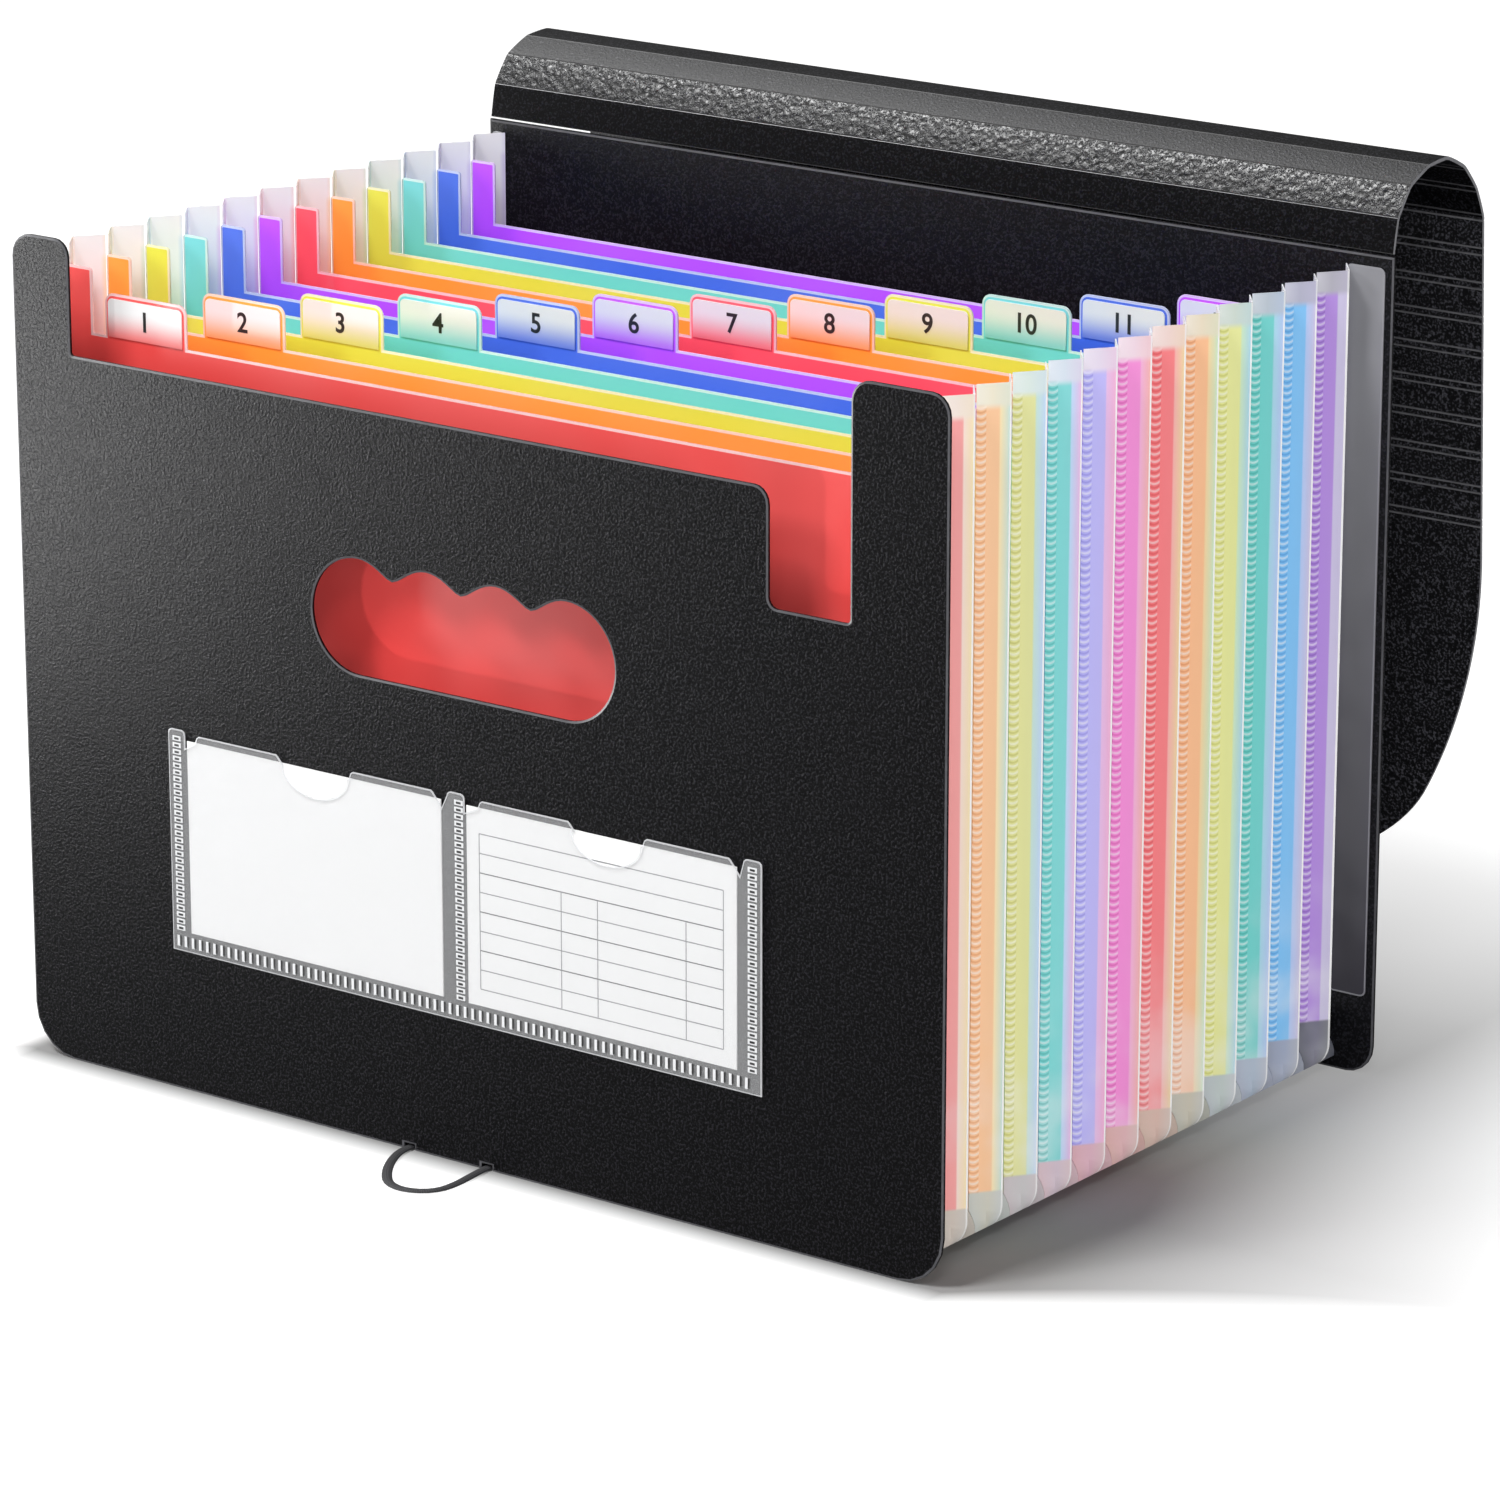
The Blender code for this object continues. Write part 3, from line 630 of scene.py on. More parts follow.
def draw_rim(bm: Mesh, facing: Vector, width: float, drop: float, number: int) -> None:
    """Insets the outline of a flat side and slopes the ring that this makes.

    Args:
        bm: Mesh to change.
        facing: Direction that the side faces.
        width: Width of the ring.
        drop: How far the outline sinks.
        number: Material number of the ring.
    """
    flat = [face for face in bm.faces if face.normal.dot(facing) > FLAT_COSINE]
    made = bmesh.ops.inset_region(bm, faces=flat, thickness=width, use_even_offset=True, use_boundary=True)
    kept = {vert for face in flat for vert in face.verts}
    outline = {vert for face in made["faces"] for vert in face.verts} - kept
    bmesh.ops.translate(bm, verts=list(outline), vec=facing * -drop)
    for face in made["faces"]:
        face.material_index = number


def add_block(bm: Mesh, x: Span, y: Span, z: Span, number: int = 0) -> None:
    """Adds a small upright block.

    Args:
        bm: Mesh that gets the block.
        x: Where it starts and ends across the file.
        y: Where it starts and ends in depth.
        z: Where it starts and ends in height.
        number: Material number of its faces.
    """
    low, high = (Vector(corner) for corner in zip(x, y, z))
    matrix = Matrix.Translation((low + high) / 2) @ Matrix.Diagonal((*(high - low), 1.0))
    made = bmesh.ops.create_cube(bm, size=1.0, matrix=matrix)
    for face in {face for vert in made["verts"] for face in vert.link_faces}:
        face.material_index = number


def thicken(bm: Mesh, way: Vector) -> None:
    """Draws the flat faces of a mesh out into a slab.

    Args:
        bm: Mesh to change.
        way: How far, and in which direction.
    """
    grown = bmesh.ops.extrude_face_region(bm, geom=bm.faces[:])["geom"]
    moved = [item for item in grown if isinstance(item, bmesh.types.BMVert)]
    bmesh.ops.translate(bm, verts=moved, vec=way)


def bevel_along(bm: Mesh, way: Vector, offset: float, segments: int) -> None:
    """Bevels the edges that run along a direction.

    Args:
        bm: Mesh to change.
        way: The direction.
        offset: Width that the bevel takes on each side.
        segments: Its steps.
    """
    edges = [
        edge for edge in bm.edges
        if abs((edge.verts[0].co - edge.verts[1].co).normalized().dot(way)) > ALONG_COSINE
    ]
    shape = {"segments": segments, "profile": 0.5, "material": -1}
    bmesh.ops.bevel(bm, geom=edges, offset=offset, affect="EDGES", **shape)


def grow_line(
    bm: Mesh, line: list[bmesh.types.BMEdge]
) -> tuple[list[bmesh.types.BMVert], list[bmesh.types.BMEdge]]:
    """Draws a strip of faces out of a line of edges, so far with no width.

    Args:
        bm: Mesh to change.
        line: Edges of the line.

    Returns:
        The vertices and the edges of the strip's free side.
    """
    grown = bmesh.ops.extrude_edge_only(bm, edges=line)["geom"]
    verts = {item for item in grown if isinstance(item, bmesh.types.BMVert)}
    edges = [item for item in grown if isinstance(item, bmesh.types.BMEdge) and set(item.verts) <= verts]
    return list(verts), edges


def settle(
    name: str,
    bm: Mesh,
    materials: list[Material],
    body: str,
    stands_for: tuple[str, ...] = (),
    smooth_degrees: float = 0.0,
) -> bpy.types.Object:
    """Turns a bmesh into a piece that rides on a body.

    Args:
        name: Name of the piece.
        bm: Its mesh, which is used up.
        materials: Its materials in order.
        body: Body that it rides on.
        stands_for: CAD nodes that it replaces.
        smooth_degrees: Edges flatter than this are shaded smooth.

    Returns:
        The piece.
    """
    bmesh.ops.recalc_face_normals(bm, faces=bm.faces)
    if smooth_degrees:
        for face in bm.faces:
            face.smooth = True
        for edge in bm.edges:
            if len(edge.link_faces) == 2:
                edge.smooth = edge.calc_face_angle(0) < math.radians(smooth_degrees)
    mesh = bpy.data.meshes.new(name)
    bm.to_mesh(mesh)
    bm.free()
    for material in materials:
        mesh.materials.append(material)
    piece = add_object(name, mesh)
    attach(piece, body)
    if stands_for:
        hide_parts(*stands_for)
    return piece


def dress(node: str, material: Material) -> None:
    """Gives a CAD node a material."""
    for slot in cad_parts[node].material_slots:
        slot.material = material


@dataclass(frozen=True)
class Lamp:
    """Area lamp with its width and height in metres and its power in watts."""

    name: str
    place: Point
    size: Span
    power: float
    target: Point = (0.0, -0.05, 0.12)
    sheen: bool = False

    def hang(self) -> None:
        """Puts the lamp into the scene; a sheen only shows in gloss, any other lamp never does."""
        data = bpy.data.lights.new(self.name, "AREA")
        data.shape = "RECTANGLE"
        data.size, data.size_y = self.size
        data.energy = self.power
        lamp = add_object(self.name, data)
        lamp.location = self.place
        lamp.rotation_euler = (Vector(self.target) - Vector(self.place)).to_track_quat("-Z", "Y").to_euler()
        lamp.visible_glossy = self.sheen
        lamp.visible_diffuse = not self.sheen


@dataclass
class Studio:
    """Camera, lamps, world and floor."""

    lens: float = 162.39
    sensor: float = 36
    camera_place: Point = (1.1473, -1.3931, 0.6649)
    camera_turn: Point = (73.265, 0.0, 36.93)
    floor_tone: str = "989898"
    floor_size: float = 8
    world_strength: float = 0.2
    glow: float = 0.95
    shade_width: float = 0.147
    shade_start: float = -0.06
    shade_drift: float = 0.4
    shade_edge: float = 0.012
    front_reach: float = 0.012
    front_slope: float = 0.95
    front_spread: float = 0.35
    lamps: tuple[Lamp, ...] = (
        Lamp("key_lamp", (-0.33, -1.15, 0.02), (0.08, 0.08), 2.7),
        Lamp("brow_lamp", (-1.1, -2.0, 1.9), (0.6, 0.6), 23),
        Lamp("steep_lamp", (-0.3, -1.4, 2.6), (0.6, 0.6), 50),
        Lamp("side_lamp", (2.6, -1.0, 0.32), (0.5, 0.5), 32),
        Lamp("fill_lamp", (1.2, -1.8, 2.0), (0.6, 0.6), 12),
        Lamp("cover_sheen", (-0.408, -0.345, 0.173), (0.06, 0.28), 2.1, (-0.23, -0.137, 0.23), True),
        Lamp("arch_sheen", (-1.15, -0.01, 1.95), (1.0, 0.5), 120, (0.0, 0.09, 0.28), True),
    )

    def build_camera(self) -> None:
        """Camera at the photograph's viewing angle; its depth is counted from the front cover."""
        data = bpy.data.cameras.new("studio_camera")
        data.lens = self.lens
        data.sensor_width = self.sensor
        camera = add_object("studio_camera", data)
        x, y, z = self.camera_place
        camera.location = (x, y + FRONT_FACE, z)
        camera.rotation_euler = [math.radians(angle) for angle in self.camera_turn]
        bpy.context.scene.camera = camera

    def build_floor(self) -> None:
        """Large pale floor under the file."""
        bm = bmesh.new()
        bmesh.ops.create_grid(bm, x_segments=1, y_segments=1, size=self.floor_size)
        mesh = bpy.data.meshes.new("studio_floor")
        bm.to_mesh(mesh)
        bm.free()
        mesh.materials.append(self.floor_finish())
        add_object("studio_floor", mesh)

    def floor_finish(self) -> Material:
        """Matt floor that, as the camera sees it, turns to plain white away from the file.

        Returns:
            Its material.
        """
        recipe = Recipe("studio_floor")
        x, y, _ = recipe.axes(recipe.place())
        low, high = CAD_BOX
        beside = recipe.math("MAXIMUM", recipe.math("SUBTRACT", recipe.math("ABSOLUTE", x), high[0]), 0)
        drift = recipe.math("MAXIMUM", recipe.math("SUBTRACT", y, self.shade_start), 0)
        drift = recipe.math("ADD", beside, recipe.times(drift, self.shade_drift))
        away = recipe.math("SUBTRACT", drift, self.shade_edge)
        away = recipe.math("MULTIPLY", away, 1 / self.shade_width, clamp=True)
        seen = recipe.add("ShaderNodeLightPath").outputs["Is Camera Ray"]
        ahead = recipe.math("SUBTRACT", recipe.times(beside, self.front_slope), y)
        ahead = recipe.math("ADD", ahead, FRONT_FACE)
        spread = recipe.math("ADD", recipe.times(beside, self.front_spread), self.front_reach)
        ahead = recipe.math("DIVIDE", ahead, spread, clamp=True)
        left = recipe.between(recipe.math("SUBTRACT", low[0], x), 0, self.front_reach)
        near = recipe.math("MAXIMUM", recipe.math("MAXIMUM", ahead, left), away)
        # The camera-only glow is painted light, shaped so that the file's cast shadow fades out behind and
        # beside the file and stops along a slanted line in front.
        glow = recipe.times(recipe.times(near, seen), self.glow)
        recipe.finish(emission_color=(1, 1, 1, 1), emission_strength=glow)
        return recipe.finish(base_color=tone(self.floor_tone), roughness=0.9, specular_ior_level=0.2)

    def build_light(self) -> None:
        """Hangs the lamps and makes a world that is pale to the file and white to the camera."""
        for lamp in self.lamps:
            lamp.hang()
        world = bpy.data.worlds.new("studio_world")
        world.use_nodes = True
        bpy.context.scene.world = world
        tree = world.node_tree
        background = tree.nodes["Background"]
        background.inputs["Color"].default_value = (1, 1, 1, 1)
        path = tree.nodes.new("ShaderNodeLightPath")
        seen = tree.nodes.new("ShaderNodeMapRange")
        seen.inputs["To Min"].default_value = self.world_strength
        seen.inputs["To Max"].default_value = 1.0
        tree.links.new(path.outputs["Is Camera Ray"], seen.inputs["Value"])
        tree.links.new(seen.outputs["Result"], background.inputs["Strength"])

    def build(self) -> None:
        """Makes everything round the file."""
        self.build_floor()
        self.build_light()
        bpy.context.scene.view_settings.view_transform = "Standard"


@dataclass
class ElasticLoop:
    """Flat elastic loop on the floor in front of the file; the strip that holds its ends is not built here.
    """

    half_width: float = 0.0015
    half_thickness: float = 0.00045
    height: float = 0.00058
    samples: int = 30
    ring_points: int = 12
    route: tuple[Span, ...] = (
        (-0.0214, 0.0012), (-0.0214, -0.0022), (-0.0203, -0.0070), (-0.0171, -0.0138), (-0.0126, -0.0205),
        (-0.0075, -0.0256), (-0.0018, -0.0273), (0.0038, -0.0256), (0.0074, -0.0213), (0.0082, -0.0150),
        (0.0077, -0.0085), (0.0071, -0.0022), (0.007, 0.0012),
    )

    def path(self) -> list[Vector]:
        """Follows the middle of the band.

        Returns:
            Evenly spaced points.
        """
        points = [Vector((x, y, 0)) for x, y in self.route]
        ends = [2 * points[0] - points[1], *points, 2 * points[-1] - points[-2]]
        dense = [
            curve_point(four, step / self.samples)
            for four in zip(ends, ends[1:], ends[2:], ends[3:])
            for step in range(self.samples)
        ]
        dense.append(points[-1])
        travelled = [0.0]
        for one, other in zip(dense, dense[1:]):
            travelled.append(travelled[-1] + (other - one).length)
        shift = Vector((0, FRONT_FACE, self.height))
        chosen = []
        index = 0
        for step in range(self.samples + 1):
            target = travelled[-1] * step / self.samples
            while index < len(dense) - 2 and travelled[index + 1] < target:
                index += 1
            share = (target - travelled[index]) / (travelled[index + 1] - travelled[index])
            chosen.append(dense[index].lerp(dense[index + 1], share) + shift)
        return chosen

    def build(self) -> None:
        path = self.path()
        bm = bmesh.new()
        shapes = []
        for index, point in enumerate(path):
            before = path[max(index - 1, 0)]
            after = path[min(index + 1, len(path) - 1)]
            ahead = (after - before).normalized()
            turn = Matrix((ahead.cross(UP), UP, ahead)).transposed().to_4x4()
            flat = Matrix.Diagonal((self.half_width, self.half_thickness, 1.0, 1.0))
            shapes.append(Matrix.Translation(point) @ turn @ flat)
        bmesh.ops.create_circle(bm, segments=self.ring_points, radius=1, cap_ends=False, matrix=shapes[0])
        line = bm.edges[:]
        for before, after in zip(shapes, shapes[1:]):
            verts, line = grow_line(bm, line)
            bmesh.ops.transform(bm, matrix=after @ before.inverted(), verts=verts)
        bmesh.ops.holes_fill(bm, edges=bm.edges)
        length = sum((other - one).length for one, other in zip(path, path[1:]))
        uv = bm.loops.layers.uv.new("band")
        for face in bm.faces:
            for loop in face.loops:
                nearest = min(range(len(path)), key=lambda place: (path[place] - loop.vert.co).length)
                offset = (loop.vert.co - path[nearest]).length
                loop[uv].uv = (offset, length * nearest / len(path))
        weave = WovenElastic().make("elastic_weave")
        node = "elastic_loop"
        piece = settle("elastic_band", bm, [weave], "front_cover", (node,), smooth_degrees=50)


@dataclass
class Covers:
    """Front and back boards whose cut edges carry a pale painted highlight."""

    rim_width: float = 0.0006
    rim_drop: float = 0.0002

    def build(self, boards: dict[str, Material], edge: Material) -> None:
        """Replaces both boards.

        Args:
            boards: Grained plastic of each cover, by node.
            edge: Pale cut edge, a painted highlight.
        """
        for node, board in boards.items():
            bm = traced_copy(node)
            draw_rim(bm, FRONT, self.rim_width, self.rim_drop, 1)
            draw_rim(bm, BACK, self.rim_width, self.rim_drop, 1)
            settle(f"{node}_board", bm, [board, edge], node, (node,))


@dataclass
class Dividers:
    """Twelve coloured sheets with pale outlines painted as highlights, paper labels and numbers."""

    count: int = 12
    outline: float = 0.0007
    outline_drop: float = 0.00012
    tint_share: float = 0.9
    digit_size: float = 0.0082
    digit_bold: float = 0.00013
    digit_depth: float = 0.00003
    digit_gap: float = 0.00003
    tint_from: float = -0.001
    tint_to: float = 0.0085
    colours: tuple[str, ...] = (
        "F24C4A", "F3A03D", "DCE24A", "74D2DD", "4B6FE1", "C754F8",
        "FF5663", "F3A03D", "DCE24A", "74D2DD", "4B6FE1", "C754F8",
    )

    def build_sheet(self, number: int) -> None:
        """One sheet with its outline, a painted highlight.

        Args:
            number: Its number.
        """
        name = f"divider_{number:02d}"
        colour = self.colours[number - 1]
        sheet = ColouredSheet(colour).make(f"sheet_{number:02d}")
        # Cut faces and the front outline take the sheet's colour blended halfway to white: a painted
        # highlight along the edges.
        edge = PlainPlastic(colour, 0.3, spot_white=0.2, whitened=0.5).make(f"sheet_edge_{number:02d}")
        bm = traced_copy(name)
        for face in bm.faces:
            if abs(face.normal.y) < 0.5:
                face.material_index = 1
        draw_rim(bm, FRONT, self.outline, self.outline_drop, 1)
        piece = settle(f"{name}_sheet", bm, [sheet, edge], name, (name,))

    def build_label(self, number: int, ink: Material) -> None:
        """The paper label of one tab, with its number.

        Args:
            number: Its number.
            ink: Material of the digits.
        """
        node = f"tab_label_{number:02d}"
        low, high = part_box(node)
        paper = Paper(
            tint=self.colours[number - 1],
            tint_share=self.tint_share,
            tint_low=low[2] + self.tint_from,
            tint_high=low[2] + self.tint_to,
        )
        dress(node, paper.make(f"tab_paper_{number:02d}"))
        curve = bpy.data.curves.new(f"digits_{number:02d}", "FONT")
        curve.body = str(number)
        curve.size = self.digit_size
        curve.offset = self.digit_bold
        curve.extrude = self.digit_depth
        curve.align_x = "CENTER"
        curve.align_y = "CENTER"
        writing = add_object(f"digits_{number:02d}", curve)
        flat = bpy.data.meshes.new_from_object(writing.evaluated_get(bpy.context.evaluated_depsgraph_get()))
        bm = bmesh.new()
        bm.from_mesh(flat)
        bpy.data.objects.remove(writing, do_unlink=True)
        bmesh.ops.remove_doubles(bm, verts=bm.verts, dist=MERGE_DISTANCE)
        front = low[1] - self.digit_depth - self.digit_gap
        middle = Vector(((low[0] + high[0]) / 2, front, (low[2] + high[2]) / 2))
        matrix = Matrix.Translation(middle) @ Matrix.Rotation(math.radians(90), 4, "X")
        bmesh.ops.transform(bm, matrix=matrix, verts=bm.verts)
        settle(f"tab_number_{number:02d}", bm, [ink], f"divider_{number:02d}")

    def build(self) -> None:
        """Makes every divider."""
        ink = PlainPlastic("0B0B0C", 0.5).make("printing_ink")
        for number in range(1, self.count + 1):
            self.build_sheet(number)
            self.build_label(number, ink)


@dataclass
class Bellows:
    """Thirteen folds of milky film in a U round the pockets, and the flanges at the back cover."""

    count: int = 13
    pitch: float = 0.01676
    middle: float = -0.00465
    half_width: float = 0.1542
    fold_depth: float = 0.00593
    top: float = 0.2425
    base: float = 0.00833
    corner: float = 0.0022
    corner_steps: int = 10
    thickness: float = 0.00035
    ridge: tuple[Span, ...] = ((0.0, 0.0), (0.5, 0.5), (0.94, 0.94), (0.985, 0.978), (1.0, 0.985))
    gap: float = 0.0006
    first_gap: float = 0.0015
    last_gap: float = 0.0003
    travel: float = 0.180
    cover_room: float = 0.0013
    sheet_room: float = 0.0005
    bare_top: float = 0.0058
    fade_turn: float = 0.9
    foot_gap: float = 0.0001
    gap_turn: float = 0.25
    flange_low: float = 0.024
    flange_gap: float = 0.00003
    flange_bend: float = 0.002
    flange_rim: Span = (0.0005, 0.00005)
    flanges: tuple[Span, ...] = ((-0.1643, -0.1590), (0.1492, 0.1623))
    tops: tuple[str, ...] = (
        "F6E8E4", "F4E6DC", "EFE8D2", "DCE9E4", "DAE4F0", "E6DAEC", "F0D8E4",
        "EFD6D0", "E9DCC4", "CDD9D0", "B9C3CE", "B4B4C8", "B2B0BC",
    )
    # Grey foot tones of the folds, carrying painted shade that is deepest on the rear folds.
    feet: tuple[str, ...] = (
        "CCC3BC", "CAC2B8", "C6CAC6", "CABFC3", "DBBEC5", "DDB2B9", "DBB0AA",
        "D1B7A8", "B9B9AE", "BEC4CA", "AAB0C2", "9DA3B4", "484B5A",
    )
    bands: tuple[str, ...] = (
        "F7A6A6", "F9A0A0", "FBC79C", "E6E49B", "7FDAD6", "BDBBFA", "F58FD8",
        "F87E84", "FBBE92", "E9E99A", "70D3CC", "7FC4F6", "B48AE0",
    )
    pales: tuple[str, ...] = (
        "F9E2E0", "FBE3D6", "FBE7B8", "C9E4DC", "C4DCFA", "EBC0EA", "F6B6DA",
        "F8B7B0", "F4D9A6", "CDE8C8", "ACD9EC", "B9CDF6", "CFC7E6",
    )
    cuts: tuple[float, ...] = (
        0.0130, 0.0144, 0.0148, 0.0146, 0.0139, 0.0140, 0.0145, 0.0147, 0.0149, 0.0155, 0.0158, 0.0168, 0.018,
    )

    def valley(self, number: int) -> float:
        """Depth of the valley in front of a fold."""
        return FRONT_FACE + (number - 1) * self.pitch

    def profile(self, number: int) -> list[Vector]:
        """Runs across one fold, at the left top.

        Args:
            number: Its number.

        Returns:
            Points from the front valley over the ridge to the back valley.
        """
        front = self.valley(number)
        near = front + (self.first_gap if number == 1 else self.gap)
        far = front + self.pitch - (self.last_gap if number == self.count else self.gap)
        ridge = (near + far) / 2
        half = ridge - near
        points = [(near + half * along, self.fold_depth * out) for along, out in self.ridge]
        points += [(2 * ridge - y, out) for y, out in reversed(points[:-1])]
        return [Vector((self.middle - self.half_width - out, y, self.top)) for y, out in points]

    def sweep(self, number: int) -> Mesh:
        """One fold: its profile goes down the left side, round the foot and up the right side.

        Args:
            number: Its number.

        Returns:
            The open surface.
        """
        bm = bmesh.new()
        verts = [bm.verts.new(point) for point in self.profile(number)]
        line = [bm.edges.new(pair) for pair in zip(verts, verts[1:])]
        left = Vector((self.middle - self.half_width + self.corner, 0, self.base + self.corner))
        right = Vector((self.middle + self.half_width - self.corner, 0, self.base + self.corner))
        down = Vector((0, 0, left.z - self.top))
        for way, centre in ((down, left), (RIGHT * (right.x - left.x), right), (-down, None)):
            verts, line = grow_line(bm, line)
            bmesh.ops.translate(bm, verts=verts, vec=way)
            if centre is not None:
                made = bmesh.ops.spin(
                    bm,
                    geom=line + verts,
                    cent=centre,
                    axis=BACK,
                    angle=-math.pi / 2,
                    steps=self.corner_steps,
                    use_duplicate=False,
                )["geom_last"]
                line = [item for item in made if isinstance(item, bmesh.types.BMEdge)]
        return bm

    def flatten_foot(self, bm: Mesh, number: int) -> None:
        """Lets the fold fade out round the foot, so that the underside is flat.

        Args:
            bm: Swept fold.
            number: Its number.
        """
        outs = {round(point.y, 7): self.middle - self.half_width - point.x for point in self.profile(number)}
        reach = self.half_width - self.corner
        height = self.base + self.corner
        ridge = FRONT_FACE + (number - 0.5) * self.pitch
        for vert in bm.verts:
            short = self.fold_depth - outs[min(outs, key=lambda y: abs(y - vert.co.y))]
            if vert.co.z >= height or short <= 0:
                continue
            across = vert.co.x - self.middle
            beyond = max(abs(across) - reach, 0)
            turn = math.atan2(height - vert.co.z, beyond)
            share = min(turn / self.fade_turn, 1) ** 2
            vert.co.x += math.copysign(short * share * math.cos(turn), across) if beyond else 0
            vert.co.z -= short * share * math.sin(turn)
            behind = vert.co.y > ridge
            if short > 0.9 * self.fold_depth and number != (self.count if behind else 1):
                vert.co.y += (self.gap - self.foot_gap) * min(turn / self.gap_turn, 1) * (1 if behind else -1)

    def build_fold(self, number: int) -> None:
        """One fold as a piece that rides on its divider, the last one on the back cover.

        Args:
            number: Its number.
        """
        bm = self.sweep(number)
        self.flatten_foot(bm, number)
        front = self.valley(number)
        bmesh.ops.recalc_face_normals(bm, faces=bm.faces)
        bmesh.ops.solidify(bm, geom=bm.faces[:], thickness=self.thickness)
        uv = bm.loops.layers.uv.new("fold")
        for face in bm.faces:
            for loop in face.loops:
                loop[uv].uv = ((loop.vert.co.y - front) / self.pitch, loop.vert.co.z)
        film = FoldFilm(
            band=self.bands[number - 1],
            pale=self.pales[number - 1],
            ahead=self.pales[min(number, self.count - 1)],
            low_cut=self.cuts[number - 1],
            high_cut=self.top - self.bare_top,
            top=self.tops[number - 1],
            foot=self.feet[number - 1],
        ).make(f"fold_film_{number:02d}")
        body = "back_cover" if number == self.count else f"divider_{number:02d}"
        node = f"gusset_{number:02d}"
        piece = settle(f"fold_{number:02d}", bm, [film], body, (node,), smooth_degrees=25)
        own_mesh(piece)

    def build_flanges(self) -> None:
        """Two strips of film that hold the last fold on the back cover."""
        recipe = Recipe("flange_film")
        place = recipe.place()
        height = recipe.between(recipe.axes(place)[2], self.flange_low, self.top)
        haze = recipe.between(recipe.noise(place, 0.03), 0.3, 0.7)
        # Lighter at the top and darker toward the foot: painted light and shade on the film.
        colour = recipe.mix(height, tone("3E3B46"), tone("A6A6AC"))
        colour = recipe.mix(recipe.times(haze, 0.15), colour, tone("C9C9CF"))
        film = recipe.finish(base_color=recipe.mix(0.35, colour, tone("000000")), roughness=0.35)
        rim = PlainPlastic("8C8C92", 0.35).make("flange_rim")
        bm = bmesh.new()
        depth = (BACK_INSIDE - self.thickness - self.flange_gap, BACK_INSIDE - self.flange_gap)
        for strip in self.flanges:
            add_block(bm, strip, depth, (self.flange_low, self.top))
        bevel_along(bm, BACK, self.flange_bend, segments=4)
        draw_rim(bm, FRONT, *self.flange_rim, 1)
        settle("last_fold_flanges", bm, [film, rim], "back_cover")

    def build(self) -> None:
        """Makes every fold."""
        for number in range(1, self.count + 1):
            self.build_fold(number)
        self.build_flanges()


